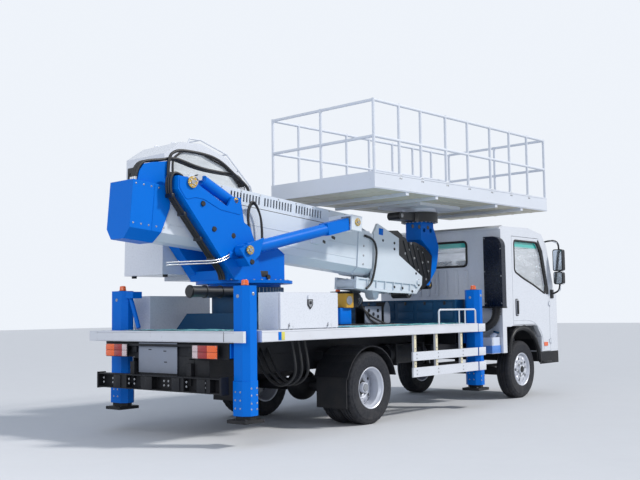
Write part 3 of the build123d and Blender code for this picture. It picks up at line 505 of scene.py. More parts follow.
def hole_sector(kit, centre, depths, first):
    # One fifth of the disc's flat band with a round hole in it
    step = 2 * math.pi / DISC_SEG
    low, high = HOLE_BAND
    middle = (low + high) / 2
    depth = sum(depths) / 2
    last = first + SECTOR
    edge = [(low, depths[0], first + j) for j in range(SECTOR + 1)]
    edge += [(middle, depth, last)]
    edge += [(high, depths[1], last - j) for j in range(SECTOR + 1)]
    edge += [(middle, depth, first)]
    half_way = (first + SECTOR / 2) * step
    mid = Vector((math.cos(half_way), math.sin(half_way))) * middle
    rows = ([], [], [])
    for r, o, turn in edge:
        at = Vector((math.cos(turn * step), math.sin(turn * step))) * r
        out = (at - mid).normalized()
        for row, p, d in zip(rows, (at, mid + out * 22, mid + out * 20), (o, depth, depth * 0.8)):
            row.append(kit.bm.verts.new((centre[0] + p.x, centre[1] + d, centre[2] + p.y)))
    for one, two in zip(rows, rows[1:]):
        kit.bridge(one, two, SILVER)


def rim_mesh(kit, x, y, side, dish):
    h = TYRE_HALF - 8
    centre = (x, y, TYRE_R)
    barrel = ((212, h + 3), (208, h + 5), (200, h), (196, h - 16), (188, h - 30), (180, h - 40),
              (180, 30 - h), (200, -h), (212, -h - 3))
    kit.lathe([(r, side * o) for r, o in barrel], centre, SILVER, 72)
    disc = ((181, dish - 14), (172, dish), (HOLE_BAND[1], dish + 2), (HOLE_BAND[0], dish + 5),
            (112, dish + 12), (96, dish + 4), (60, dish + 3))
    kit.lathe([(r, side * o) for r, o in disc], centre, SILVER, DISC_SEG, gap=2)
    for k in range(5):
        hole_sector(kit, centre, (side * (dish + 5), side * (dish + 2)), SECTOR * k)


def wheel(side, word, end, plural, x, ys, dishes, nuts, hub):
    tyres = Kit()
    rims = Kit()
    for y, dish in zip(ys, dishes):
        tyre_mesh(tyres, x, side * y)
        rim_mesh(rims, x, side * y, side, dish)
    for o0, o1, r0, r1, seg, mat in hub:
        rims.rod((x, side * (ys[0] + o0), TYRE_R), (x, side * (ys[0] + o1), TYRE_R), r0, mat, seg, r1)
    for k in range(6):
        u, v = polar(NUT_REACH, 60 * k + 15)
        rims.bolt((x + u, side * (ys[0] + nuts), TYRE_R + v), (0, side, 0), 13, STEEL, 20)
    body = f"{end}_wheel{plural}_{word}"
    tyres.done(f"tyre_{end}_{word}", body, TRUCK, [f"{end}_tyre{plural}_{word}"], thick=3)
    rims.done(f"rim_{end}_{word}", body, TRUCK, [f"{end}_rim{plural}_{word}"], thick=5)


for side, word in SIDES:
    for row in WHEELS:
        wheel(side, word, *row)

# Tail lamps: white, red and amber fields from the middle outwards
lamps = Kit()
for side in (-1, 1):
    lamps.box(-2002, -1984, *across(side, 455, 780), 744, 868, PLASTIC, 4)
    for y0, y1, mat in ((460, 528, WHITE_LENS), (530, 646, RED_LENS), (648, 775, AMBER_LENS)):
        for z0, z1 in ((749, 805), (807, 863)):
            lamps.box(-2010, -2001, *across(side, y0, y1), z0, z1, mat, 3)
    for y, z in ((470, 756), (765, 756), (470, 856), (765, 856)):
        lamps.rod((-2011, side * y, z), (-2009, side * y, z), 5, STEEL, 12)
lamps.box(-1984, -1964, -640, 640, 846, 868, BLACK, 2)
for y in (-425, 365):
    lamps.box(-1966, -1942, y, y + 60, 790, 868, BLACK, 2)
lamps.done("tail_lamp_set", replaces=["tail_lamps"])

# Rear bumper: bolts, pads and the plates behind it
bumper = Kit()
for y in (-660, -420, -180, -120, 60, 120, 300, 380, 620, 760):
    for z in (500, 540):
        bumper.bolt((-2040, y, z), (-1, 0, 0), 7, STEEL)
for y in (500, 44, -334, -665):
    bumper.box(-2049, -2043, y, y + 104, 458, 572, BLACK, 1.5)
bumper.box(-1962, -1954, -206, 335, 600, 880, GREY, 3)
for y, z in ((-60, 800), (150, 812), (-70, 700)):
    bumper.box(-1964, -1961, y, y + 40, z, z + 8, BLACK, 1)
bumper.box(-1950, -1942, -620, -206, 560, 760, BLACK, 3)
bumper.done("rear_bumper_bolts")

# Outrigger legs: name, rear x, front x, inner |y|, side
LEG_OUT = 1066
LEG_FACE = LEG_OUT + 4
LEGS = (
    ("rear_right", -1942, -1762, 868, -1),
    ("rear_left", -1752, -1598, 818, 1),
    ("front_left", 1765, 1922, 868, 1),
    ("front_right", 1928, 2085, 868, -1),
)
# Lamp on each leg: heights, radii and look
BEACON = ((1380, 1386, 40, 40, PLASTIC), (1386, 1428, 34, 30, AMBER_LENS), (1428, 1434, 30, 20, AMBER_LENS))
for name, x0, x1, y0, side in LEGS:
    kit = Kit()
    xm = (x0 + x1) / 2
    ym = side * (y0 + LEG_OUT) / 2
    for z0, z1, r0, r1, mat in BEACON:
        kit.rod((xm, ym, z0), (xm, ym, z1), r0, mat, 28, r1)
    for dx in (-34, 34):
        for z in (322, 372) if x0 > 0 else (322, 372, 440, 500):
            kit.bolt((xm + dx, side * LEG_FACE, z), (0, side, 0), 6, STEEL)
    for z in (330, 400, 470):
        for dy in (30, -30):
            kit.bolt((x0 - 7, ym + side * dy, z), (-1, 0, 0), 6, STEEL)
    if x0 > 0:
        for z0, z1 in ((611, 706), (439, 541), (888, 982)):
            kit.box(x0 + 1, x1 - 1, *across(side, LEG_FACE, LEG_FACE + 3), z0, z1, WHITE, 1)
    kit.bolt((xm, side * LEG_OUT, 1310), (0, side, 0), 11, STEEL, 6)
    kit.bolt((x0, ym, 1290), (-1, 0, 0), 11, STEEL, 6)
    kit.done("leg_fittings_" + name, "leg_" + name, TRUCK)
    foot = Kit()
    foot.rod((xm, ym, 230), (xm, ym, 262), 46, STEEL, 28, 40)
    for k in range(4):
        u, v = polar(78, 45 + 90 * k)
        foot.bolt((xm + u, ym + v, 232), (0, 0, 1), 9, STEEL)
    foot.done("foot_fittings_" + name, "jack_" + name)

# Deck: side stripes, sheet joint, folded edges
deck = Kit()
for x0, x1, mat in ((-1540, -1500, BLUE), (-1500, -1456, REFLECT)):
    deck.box(x0, x1, -1072.5, -1070, 900, 972, mat, 1)
deck.box(-1987, -1983, -836, -834, 892, 984, BLACK, 0)
for z in (896, 975):
    deck.rod((-1750, -1070, z), (1760, -1070, z), 3, DECK_WHITE, 6)
    deck.rod((-1590, 1070, z), (1760, 1070, z), 3, DECK_WHITE, 6)
    deck.rod((-1985, -960, z), (-1985, 960, z), 3, DECK_WHITE, 6)
deck.done("deck_trim")

# Protective film still stuck to the deck: x and y limits of its patches
PATCHES = ((-1920, -1480, -700, 600), (-560, 1100, -1036, -560), (1150, 1750, -1030, -520))
COLS, ROWS = 26, 18
FILM_Z = 990.5
film = Kit()
for k, (x0, x1, y0, y1) in enumerate(PATCHES):
    grid = []
    for i in range(COLS + 1):
        line = []
        for j in range(ROWS + 1):
            x = x0 + (x1 - x0) * i / COLS + 9 * math.sin(j * 1.7 + k)
            y = y0 + (y1 - y0) * j / ROWS + 11 * math.sin(i * 0.9 + 2 * k)
            z = FILM_Z + 7 * abs(math.sin(i * 0.83 + j * 0.6 + k) * math.cos(j * 0.71 - i * 0.2))
            line.append(film.bm.verts.new((x, y, z)))
        grid.append(line)
    for i in range(COLS):
        for j in range(ROWS):
            film.bm.faces.new((grid[i][j], grid[i + 1][j], grid[i + 1][j + 1], grid[i][j + 1]))
film.mark(film.bm.faces, FILM)
film.done("deck_film", thick=0.8)

# Side guards: cream posts with their bolts
POST_FACE = 1048
guard = Kit()
for side in (-1, 1):
    for x in (620, 1040, 1560):
        for z0, z1 in ((541, 611), (706, 888)):
            guard.box(x - 1, x + 41, *across(side, POST_FACE - 3, POST_FACE), z0, z1, CREAM, 1)
        for z in (576, 740, 850):
            guard.bolt((x + 20, side * POST_FACE, z), (0, side, 0), 6, STEEL)
        for z in (470, 510, 638, 680):
            guard.rod((x + 20, side * 1065, z), (x + 20, side * 1069, z), 8, STEEL, 14)
guard.done("guard_posts")

# Toolboxes: shield latch and hinges
BOX_FACE = 1028
for side, word in SIDES:
    door = Kit()
    y = side * BOX_FACE
    shield = rounded([(-1094, 1266), (-1094, 1208), (-1056, 1166), (-1018, 1208), (-1018, 1266)], 12)
    door.prism(shield, y, y + side * 6, SATIN)
    inner = rounded([(-1082, 1256), (-1082, 1212), (-1056, 1184), (-1030, 1212), (-1030, 1256)], 10)
    door.prism(inner, y + side * 6, y + side * 9, STEEL)
    door.box(-1072, -1040, *across(side, BOX_FACE, BOX_FACE + 14), 1216, 1246, SATIN, 4)
    for x in (-1335, -778):
        door.box(x - 26, x + 26, *across(side, BOX_FACE, BOX_FACE + 5), 1012, 1040, STEEL, 2)
        for dx in (-14, 14):
            door.rod((x + dx, y + side * 4, 1026), (x + dx, y + side * 8, 1026), 4, BLACK, 10)
    door.done("toolbox_latch_" + word, "toolbox_door_" + word, TRUCK)

# Deck locker: pressed panels, latches and lid edge
locker = Kit()
for y in (-700, -420, -140, 140, 420, 700):
    locker.box(1787, 1795, y - 112, y + 112, 1030, 1120, DARK_BLUE, 6)
    locker.box(1787, 1795, y - 112, y + 112, 1140, 1236, DARK_BLUE, 6)
    locker.box(1784, 1788, y - 16, y + 16, 1210, 1250, SATIN, 3)
locker.box(1786, 1795, -845, 845, 1252, 1270, DARK_BLUE, 3)
locker.done("locker_panels")

# Truck cab: pressings on its back wall and roof
cab = Kit()
for y in (23, -115, -277, -427, 160, 300, 430):
    rib = panel(y - 22, y + 22, 1335, 1655, 16)
    cab.prism(rib, 2753, 2762, WHITE, "x")
    cab.ring(at_x(2754, rib), 6, WHITE)
for y0, y1 in ((-900, -560), (560, 900)):
    cab.prism(panel(y0, y1, 1010, 2060, 40), 2756, 2762, WHITE, "x")
cab.box(2752, 2762, -900, 900, 1268, 1292, WHITE, 4)
cab.prism([(2742, 2150), (2752, 2176), (2840, 2210), (2846, 2196), (2770, 2160)], -922, 922, WHITE)
for y in (-600, -200, 200, 600):
    cab.box(3000, 3480, y - 30, y + 30, 2203, 2216, WHITE, 5)
cab.done("cab_pressings")

# Truck cab front: lid seam, grille slats, lamps, wipers
FACE = 4284
front = Kit()
front.ring(at_x(FACE, panel(-850, 850, 900, 1290, 60)), 4, WHITE)
front.prism(panel(-520, 520, 640, 850, 40), FACE, FACE + 4, PLASTIC, "x")
for z in (676, 716, 756, 796):
    front.box(FACE + 3, FACE + 10, -490, 490, z, z + 22, SATIN, 3)
for side in (-1, 1):
    lamp = rounded([(side * 560, 850), (side * 560, 690), (side * 905, 700), (side * 905, 870)], 44)
    front.prism(lamp, FACE, FACE + 5, SATIN, "x")
    for y, r in ((635, 58), (760, 48)):
        front.rod((FACE + 4, side * y, 772), (FACE + 9, side * y, 772), r, CHROME, 32)
        front.rod((FACE + 8, side * y, 772), (FACE + 12, side * y, 772), r - 8, WHITE_LENS, 32, r - 16)
    turn = rounded([(side * 822, 846), (side * 822, 716), (side * 890, 716), (side * 890, 852)], 20)
    front.prism(turn, FACE + 4, FACE + 10, AMBER_LENS, "x")
for y in (-380, 300):
    front.rod((4182, y, 1440), (4206, y, 1446), 16, PLASTIC, 16)
    front.line([(4204, y, 1446), (4176, y - 190, 1560), (4152, y - 330, 1630)], 6, PLASTIC)
    front.line([(4186, y - 130, 1490), (4150, y - 330, 1610), (4104, y - 500, 1760)], 5, RUBBER)
front.done("cab_front")

glazing = Kit()
glazing.prism(panel(-428, 428, 1718, 2011, 54, 6), 2776, 2782, SIDE_GLASS, "x")
glazing.done("rear_window_glass")
seal = Kit()
seal.ring(at_x(2757, panel(-440, 440, 1706, 2023, 60, 6)), 15, RUBBER)
seal.ring(((3994, -826, 1980), (3994, 826, 1980), (4163, 834, 1446), (4163, -834, 1446)), 12, RUBBER)
seal.done("window_seals")

# Cab doors, wheel arches and mirrors
CAB_SIDE = 935
WINDOW = ((3104, 1630), (3104, 2030), (3740, 2030), (3840, 1900), (3975, 1460), (3950, 1345), (3620, 1462),
          (3320, 1550))
PANE = ((3112, 1640), (3112, 2022), (3734, 2022), (3832, 1897), (3966, 1460), (3944, 1356), (3624, 1470),
        (3324, 1558))
PILLAR = ((3752, 2040), (3852, 1908), (3990, 1462), (3964, 1340), (4040, 1340), (4046, 1402), (3893, 1924),
          (3774, 2070))
DOOR_SEAM = ((3072, 1002), (3300, 1008), (3560, 996), (3740, 900), (3856, 780), (3868, 600))
ARCH = ((2900, 620), (2930, 740), (3010, 850), (3130, 912), (3340, 925), (3530, 870), (3672, 745),
        (3760, 592))
ARCH_DEPTH = 14
FLARE = ((2924, 600), (2950, 730), (3026, 832), (3140, 890), (3335, 902), (3512, 850), (3648, 730),
         (3736, 588), (3752, 470))
for side, word in SIDES:
    y = side * CAB_SIDE
    pane = Kit()
    pane.prism(rounded(PANE, 40), y - side * 30, y - side * 25, SIDE_GLASS)
    pane.done("door_glass_" + word, "cab_door_" + word, TRUCK)
    trim = Kit()
    trim.ring(at_y(y - side * 6, rounded(WINDOW, 46, 5)), 15, RUBBER)
    trim.prism(rounded(PILLAR, 12), y, y + side * 3, PLASTIC)
    trim.prism(panel(3106, 3178, 1058, 1278, 18), y, y + side * 4, SATIN)
    trim.box(3124, 3160, *across(side, CAB_SIDE, CAB_SIDE + 26), 1080, 1256, PLASTIC, 8)
    trim.line(at_y(y - side, DOOR_SEAM), 6, WHITE)
    trim.prism(panel(3870, 3975, 650, 700, 8), y, y + side * 8, AMBER_LENS)
    trim.done("door_trim_" + word, "cab_door_" + word)
    arch = Kit()
    arch.line(at_y(side * 926, FLARE), 27, PLASTIC)
    for (xa, za), (xb, zb) in zip(ARCH, ARCH[1:]):
        sheet = [(xa, za), (xb, zb), (xb + 4, zb + ARCH_DEPTH), (xa + 4, za + ARCH_DEPTH)]
        arch.prism(sheet, side * 600, side * 936, PLASTIC)
    arch.box(3810, 4060, *across(side, 880, 948), 430, 452, PLASTIC, 4)
    arch.done("arch_liner_" + word)
    mirror = Kit()
    my = side * 1045
    for z0, z1, half in ((1654, 1952, 72), (1474, 1646, 66)):
        mirror.prism(panel(my - half, my + half, z0, z1, 34, 5), 4128, 4206, PLASTIC, "x")
        half -= 12
        mirror.prism(panel(my - half, my + half, z0 + 12, z1 - 12, 26, 5), 4124, 4129, MIRROR, "x")
    mirror.line([(3960, side * 900, 2040), (4050, side * 985, 2075), (4150, side * 1030, 2062),
                 (4178, my, 2000), (4176, my, 1940)], 12, PLASTIC)
    mirror.line([(4178, my, 1500), (4190, side * 1040, 1410), (4170, side * 990, 1362),
                 (4140, side * 930, 1342)], 12, PLASTIC)
    mirror.box(4096, 4184, *across(side, 902, 950), 1286, 1404, PLASTIC, 10)
    mirror.done("mirror_" + word)

# Intake duct: panel beads and bolts, elbow down to the air cleaner
duct = Kit()
bead = rounded([(-975, 1960), (-975, 1200), (-768, 1200), (-768, 2030), (-915, 2030)], 40)
duct.ring(at_x(2655, bead), 4, GLOSS_BLACK)
for y, z in ((-985, 1900), (-985, 1560), (-985, 1220), (-758, 2040), (-758, 1620), (-758, 1220)):
    duct.bolt((2655, y, z), (-1, 0, 0), 6, STEEL, 4)
duct.box(2649, 2761, -1006, -739, 1160, 1182, PLASTIC, 8)
duct.line([(2702, -885, 1175), (2694, -885, 1060), (2640, -850, 960), (2560, -740, 895), (2500, -600, 856),
           (2490, -520, 850)], 50, PLASTIC)
for z in (1136, 1106, 1076):
    duct.rod((2700, -885, z), (2700, -885, z + 12), 56, PLASTIC, 32)
duct.box(2420, 2570, -560, -432, 780, 925, BLACK, 16)
duct.done("intake_elbow")

# Operator cab: glass, black seals, door handle
OP_Y0, OP_Y1 = 345, 985
SIDE_PANE = ((-654, 1906), (-644, 2696), (-516, 2794), (-272, 2794), (56, 2685), (324, 2436), (414, 2119),
             (394, 1906))
DOOR_PANE = ((-574, 1906), (-564, 2656), (-476, 2734), (-282, 2734), (6, 2644), (234, 2436), (324, 2108),
             (314, 1906))
FRONT_PANE = ((512, 2100), (394, 2480), (76, 2776), (66, 2770), (384, 2474), (502, 2098), (486, 1906),
              (496, 1904))
op = Kit()
op.prism(rounded(SIDE_PANE, 40), OP_Y0 + 14, OP_Y0 + 19, CAB_GLASS)
op.prism(panel(OP_Y0 + 74, OP_Y1 - 74, 1956, 2594, 30), -752, -747, CAB_GLASS, "x")
op.prism(FRONT_PANE, OP_Y0 + 40, OP_Y1 - 40, CAB_GLASS)
op.done("operator_glass", "turret", TURRET)
opseal = Kit()
opseal.ring(at_y(OP_Y0 - 1, rounded(SIDE_PANE, 50)), 12, RUBBER)
opseal.ring(at_x(-758, panel(OP_Y0 + 70, OP_Y1 - 70, 1950, 2600, 36)), 13, RUBBER)
for x in (-690, -100):
    for y in (OP_Y0 + 60, OP_Y1 - 60):
        opseal.rod((x, y, 1512), (x, y, 1536), 26, RUBBER, 20)
opseal.done("operator_seals", "turret", TURRET)
LEAN = 0.0199
opframe = Kit()
for y0, y1, z0, z1 in ((400, 960, 2598, 2656), (400, 960, 1908, 1952), (400, 418, 1950, 2600),
                       (912, 960, 1950, 2600)):
    opframe.box(-773, -768, y0, y1, z0, z1, PLASTIC, 1.5)
for v in opframe.bm.verts:
    v.co.x += (v.co.z - 1535) * LEAN
opframe.done("operator_rear_frame", "turret", TURRET)
opdoor = Kit()
opdoor.prism(rounded(DOOR_PANE, 40), OP_Y1 - 20, OP_Y1 - 15, CAB_GLASS)
opdoor.ring(at_y(OP_Y1 - 1, rounded(DOOR_PANE, 46)), 11, RUBBER)
opdoor.box(250, 330, OP_Y1, OP_Y1 + 22, 1790, 1816, PLASTIC, 7)
opdoor.done("operator_door_glass", "operator_door", TURRET)


def pin_head(kit, x, y, z, r):
    # A gold collar, a steel pin and six bolts, facing -Y
    kit.rod((x, y, z), (x, y - 10, z), r * 1.25, GOLD, 36, r * 1.2)
    kit.rod((x, y - 10, z), (x, y - 16, z), r * 0.5, STEEL, 24)
    for k in range(6):
        u, v = polar(r * 0.85, 60 * k + 20)
        kit.bolt((x + u, y - 10, z + v), (0, -1, 0), r * 0.16, STEEL)


# Turret: pin heads, plugs, bolt circle
PLATE_TOP = 1463
tur = Kit()
pin_head(tur, PIVOT[0], -345, PIVOT[1], 44)
pin_head(tur, -378, -502, 1742, 36)
tur.rod((-398, -329, 2230), (-398, -335, 2230), 30, GOLD, 32, 26)
PLUGS = ((-814, -335, 2169, 10), (-676, -330, 1938, 10), (-433, -330, 1887, 5), (-340, -488, 1630, 10))
for x, y, z, tall in PLUGS:
    tur.rod((x, y, z), (x, y - tall, z), 27, SATIN, 28, 23)
doubler = [(-1090, 2300), (-1090, 2398), (-995, 2392), (-890, 2344), (-516, 2156), (-470, 2240), (-352, 2240),
           (-338, 2094), (-600, 2128), (-800, 2212), (-905, 2222), (-1010, 2194)]
tur.prism(rounded(doubler, 26), -335, -329, BLUE)
WELD = ((-470, 1730), (-100, 1765), (193, 1793), (293, 1733))
for side in (-1, 1):
    weld = at_y(side * 287, WELD)
    for one, two in zip(weld, weld[1:]):
        tur.rod(one, two, 4, BLUE, 8)
for x in range(-440, 290, 90):
    tur.bolt((x, -300, PLATE_TOP), (0, 0, 1), 9, STEEL, 8)
for k in range(36):
    tur.bolt((*polar(452, 10 * k), PLATE_TOP), (0, 0, 1), 10, STEEL, 9)
tur.box(-75, 60, -289, -285, 1500, 1560, SATIN, 3)
tur.rod((60, -289, 1500), (60, -300, 1500), 24, SATIN, 24)
tur.done("turret_fittings", "turret", TURRET)

# Hoses and pipes on the turret
REAR_HOSE = ((-1010, 2417.4), (-1088, 2456), (-1144, 2400), (-1144, 2260), (-1112, 2210), (-650, 1668),
             (-508, 1530), (-508, 1463.5))
hoses = Kit()
for y in (-208, -240, -272):
    hoses.line(at_y(y, REAR_HOSE), 13, HOSE)
for x, z in ((-1128, 2229), (-990, 2067), (-800, 1844), (-640, 1656)):
    hoses.box(x - 18, x + 18, -292, -188, z - 18, z + 18, SATIN, 5)
for z in (0, 24):
    pipe = at_y(-339, ((-1242, 1580 + z), (-936, 1601 + z), (-580, 1620 + z), (-480, 1690 + z)))
    hoses.line(pipe, 8, CHROME)
for x, y, z in ((0, -250, 0), (30, -225, -16)):
    left = 1765.8 + 0.095 * x
    right_end = 1777.5 + 0.095 * x
    loop = ((x - 110, left), (x - 112, 1830), (x - 150, 1915), (x - 172, 2032 + z), (x - 174, 2166 + z),
            (x - 128, 2251 + z), (x - 73, 2248 + z), (x, 2124 + z), (x + 16, 1948), (x + 16, right_end))
    hoses.line(at_y(y, loop), 11, HOSE)
    for hx, hz in ((x - 110, left), (x + 16, right_end)):
        hoses.rod((hx, y, hz), (hx, y, hz + 44), 14, STEEL, 18)
        hoses.rod((hx, y, hz), (hx, y, hz + 14), 19, STEEL, 6)
hoses.box(-500, -460, -350, -330.2, 1670, 1730, BLUE, 4)
hoses.done("turret_hose_runs", "turret", TURRET, replaces=["turret_hoses"])

# Cables and hoses over the boom
CABLE = ((-1420, 2352.5), (-1401, 2454), (-1343, 2537), (-1244, 2561), (-1118, 2579), (-1040, 2600),
         (-950, 2608), (-864, 2592), (-668, 2548), (-431, 2530), (-170, 2528), (-100, 2440), (-100, 2374))
LOW_CABLE = ((-1068, 2470), (-900, 2495), (-640, 2400), (-535, 2345))
HOSE_ARCH = ((-1069, 2430), (-1069, 2610), (-975, 2680), (-847, 2690), (-583, 2680), (-412, 2631),
             (-237, 2515), (-60, 2410), (-60, 2370.5))
SIDE_HOSE = ((1682, 2004), (1816, 1988), (1891, 1878), (1877, 1727), (1823, 1539), (1766, 1440), (1690, 1400))
runs = Kit()
for y in (-104, -75, -46):
    runs.line(at_y(y, CABLE), 14, HOSE)
    runs.rod((-1420, y, 2352), (-1413, y, 2390), 18, STEEL, 20)
    runs.rod((-100, y, 2374), (-100, y, 2410), 18, STEEL, 20)
for y in (-14, 18):
    runs.line(at_y(y, LOW_CABLE), 13, HOSE)
runs.box(-1090, -1056, -29.8, 34, 2452, 2488, BLUE, 4)
runs.line(at_y(-135.5, HOSE_ARCH), 15, HOSE)
runs.line(at_y(-189.5, SIDE_HOSE), 13, HOSE)
runs.done("boom_hose_runs", "boom", TURRET, replaces=["boom_hoses"])

# Slew ring and motor
gear = Kit()
for k in range(60):
    u, v = polar(392, 6 * k)
    gear.rod((SLEW_X + u, v, 1306), (SLEW_X + u, v, 1392), 9, STEEL, 6)
for x in (-1880, -1700, -1500):
    gear.rod((x, -286, 1347), (x + 12, -286, 1347), 60, SATIN, 32)
for k in range(5):
    gear.bolt((-1330 + 30 * k, -340, 1350), (0, -1, 0), 9, STEEL)
gear.done("slew_ring_bolts")

# Boom: pin head on the lift bracket, weld lines, guard strips
COS_REST, SIN_REST = math.cos(math.radians(5)), math.sin(math.radians(5))


def boom_xy(x, z):
    # A place in the turret's frame at rest, along and across the boom
    dx, dz = x - PIVOT[0], z - PIVOT[1]
    return dx * COS_REST - dz * SIN_REST, dx * SIN_REST + dz * COS_REST


boom = Kit()
s, n = boom_xy(1213, 2108)
pin_head(boom, s, -488, n, 34)
for n in (-250, -400):
    boom.rod((-90, -163, n), (2540, -163, n), 2.4, BOOM_WHITE, 6)
boom.box(430, 2440, -151, -147, -76, -66, SATIN, 0.8)
for s in range(520, 2400, 260):
    boom.bolt((s, -148, 72), (0, -1, 0), 6, STEEL)
for s, n, w in ((2105, -225, 60), (1960, -290, 44)):
    pad = [(s - w / 2, n + 22), (s - w / 2, n - 8), (s + w / 2, n - 18), (s + w / 2, n + 16)]
    boom.prism(rounded(pad, 10), -207, -204, SATIN)
for z in (-130, -240, -350, -450):
    boom.bolt((2655, -176, z), (0, -1, 0), 9, STEEL)
boom.done("boom_fittings", "boom", BOOM)
tail = Kit()
for s in (-505, -420, -335, -250, -165):
    for n in (-80, -440):
        tail.bolt((s, -177, n), (0, -1, 0), 6, STEEL)
tail.rod((-300, -178, -60), (-300, -178, -480), 3, BLUE, 6)
tail.done("tail_cover_seams", "boom", BOOM)

# Boom head
head = Kit()
for x, z in ((2037, 1968), (2247, 1875), (2249, 1946), (2710, 1509), (2708, 1456), (2659, 1594), (2387, 1414),
             (2233, 1425), (2576, 1376)):
    s, n = boom_xy(x, z)
    for side in (-1, 1):
        head.bolt((s, side * 165, n), (0, side, 0), 11, SATIN)
s, n = boom_xy(2001, 2068)
head.box(s - 38, s + 38, -170, -165, n - 38, n + 38, BLUE, 2)
s, n = boom_xy(2566, 1307)
head.box(s - 60, s + 60, -70, 70, n + 30, n + 100, SATIN, 4)
head.rod((s, -120, n + 40), (s, 120, n + 40), 52, SATIN, 32)
head.rod((s, -124, n + 40), (s, 124, n + 40), 20, STEEL, 20)
head.done("boom_head_fittings", "fly_section", BOOM)

# Platform bracket: link plates, roller, hose bundle
link = Kit()
PLATE = ((2187, 2094), (2362, 2104), (2530, 2010), (2548, 1975), (2699, 1982), (2895, 1923), (3040, 1821),
         (3030, 1712), (3000, 1520), (2877, 1430), (2760, 1375), (2800, 1400), (2800, 1540), (2640, 1690),
         (2384, 1800), (2381, 2000))
for y0, y1 in ((-129, -121), (121, 129)):
    link.prism(PLATE, y0, y1, SATIN)
for x, z in ((2466, 2050), (2588, 1884), (2501, 1835), (2681, 1782), (2844, 1733), (2960, 1744), (2960, 1629),
             (2910, 1527), (2760, 1900), (2760, 1640), (2860, 1860), (2620, 1960)):
    link.bolt((x, -129, z), (0, -1, 0), 10, STEEL, 4)
for k in range(5):
    x = 2470 + 92 * k
    wire = [(x, -133, 1990 - 18 * k), (x + 60, -134, 1800 - 12 * k), (x + 170 - 12 * k, -133, 1590 - 12 * k)]
    link.line(wire, 6, SATIN)
link.rod((3060, -70, 1462), (3060, 70, 1462), 52, SATIN, 36)
link.rod((3060, -74, 1462), (3060, 74, 1462), 20, GOLD, 20)
for x in (2671, 2803, 2982):
    link.rod((x, -118, 2175), (x, -122, 2175), 24, SATIN, 24)
link.done("link_plates", "bracket", TURRET)
rot = Kit()
for x, z in ((2490, 2297), (3120, 2300)):
    rot.rod((x, -95, z), (x, -104, z), 24, STEEL, 24)
    rot.bolt((x, -104, z), (0, -1, 0), 10, STEEL)
for k in range(24):
    u, v = polar(206, 15 * k)
    rot.bolt((2970 + u, v, 2240), (0, 0, -1), 9, STEEL, 8)
rot.done("rotator_bolts", "bracket", TURRET)

# Seats and the inside of the truck cab
def cushion(name, body, place, box, thin):
    # A crowned pad whose sides pull in between its corners; thin is its thin axis
    low, high = Vector(box[::2]), Vector(box[1::2])
    kit = Kit()
    made = bmesh.ops.create_cube(kit.bm, size=2)["verts"]
    edges = list({e for v in made for e in v.link_edges})
    bmesh.ops.subdivide_edges(kit.bm, edges=edges, cuts=13, use_grid_fill=True)
    flat = [i for i in range(3) if i != thin]
    for v in kit.bm.verts:
        a, b = v.co[flat[0]], v.co[flat[1]]
        crown = (1 - a ** 4) * (1 - b ** 4)
        channel = 0.05 * max(0, math.cos(a * math.pi * 4)) ** 6 * crown
        v.co[thin] *= 0.62 + 0.38 * crown ** 0.5 - channel
        v.co[flat[0]] = a * (1 - 0.03 * (1 - b * b)) - 0.05 * a * abs(v.co[thin])
        v.co[flat[1]] = b * (1 - 0.03 * (1 - a * a)) - 0.05 * b * abs(v.co[thin])
    bmesh.ops.smooth_vert(kit.bm, verts=kit.bm.verts, factor=0.5, use_axis_x=True, use_axis_y=True,
                          use_axis_z=True)
    kit.bm.transform(Matrix.Translation((low + high) / 2) @ Matrix.Diagonal((*((high - low) / 2), 1)))
    kit.mark(kit.bm.faces, SEAT)
    pad = kit.done(name, body, place, angle=80)


seat = Kit()
seat.box(-480, -60, 520, 820, 1570, 1800, PLASTIC, 12)
seat.box(60, 300, 450, 880, 1570, 1985, PLASTIC, 20)
seat.box(-200, 100, 500, 840, 1570, 1590, PLASTIC, 3)
for y in (530, 620, 710, 800):
    seat.rod((170, y, 1985), (160, y, 2075), 7, STEEL, 14)
    seat.rod((160, y, 2070), (158, y, 2096), 15, SATIN, 20, 12)
seat.done("operator_seat_stand", "turret", TURRET, replaces=["operator_seat"])
cushion("operator_seat_pad", "turret", TURRET, (-560, 0, 440, 900, 1796, 1925), 2)
cushion("operator_back_pad", "turret", TURRET, (-640, -515, 440, 900, 1860, 2520), 0)
BENCH_Y = (-620, -100, 420)
STEER_AT = (3640, 520, 1420)
inside = Kit()
inside.box(2805, 4240, -870, 870, 973, 990, RUBBER, 2)
dash = [(3850, 1050), (3850, 1250), (3905, 1350), (3990, 1368), (4150, 1300), (4150, 1050)]
inside.prism(rounded(dash, 30), -850, 850, PLASTIC)
inside.box(3950, 4200, -800, 800, 988, 1060, PLASTIC, 10)
for y in (-560, -180, 200, 700):
    inside.box(3872, 3882, y - 60, y + 60, 1270, 1330, SATIN, 4)
inside.rod((3900, 520, 1250), STEER_AT, 25, PLASTIC)
tilt = Vector((-260, 0, 170)).to_track_quat("Z", "Y").to_matrix().to_4x4()
steer = Matrix.Translation(STEER_AT) @ tilt
inside.ring([steer @ Vector((*polar(190, 9 * k), 0)) for k in range(40)], 14, SATIN)
for a in (0, 120, 240):
    inside.rod(STEER_AT, steer @ Vector((*polar(186, a), 0)), 12, SATIN, 12)
for y in BENCH_Y:
    inside.box(2960, 3440, y + 20, y + 420, 988, 1130, PLASTIC, 10)
inside.done("cab_inside", replaces=["cab_interior"])
for k, y in enumerate(BENCH_Y):
    cushion("seat_pad_%d" % k, "chassis", TRUCK, (2950, 3450, y, y + 440, 1120, 1255), 2)
    cushion("back_pad_%d" % k, "chassis", TRUCK, (2870, 2990, y, y + 440, 1200, 1800), 0)

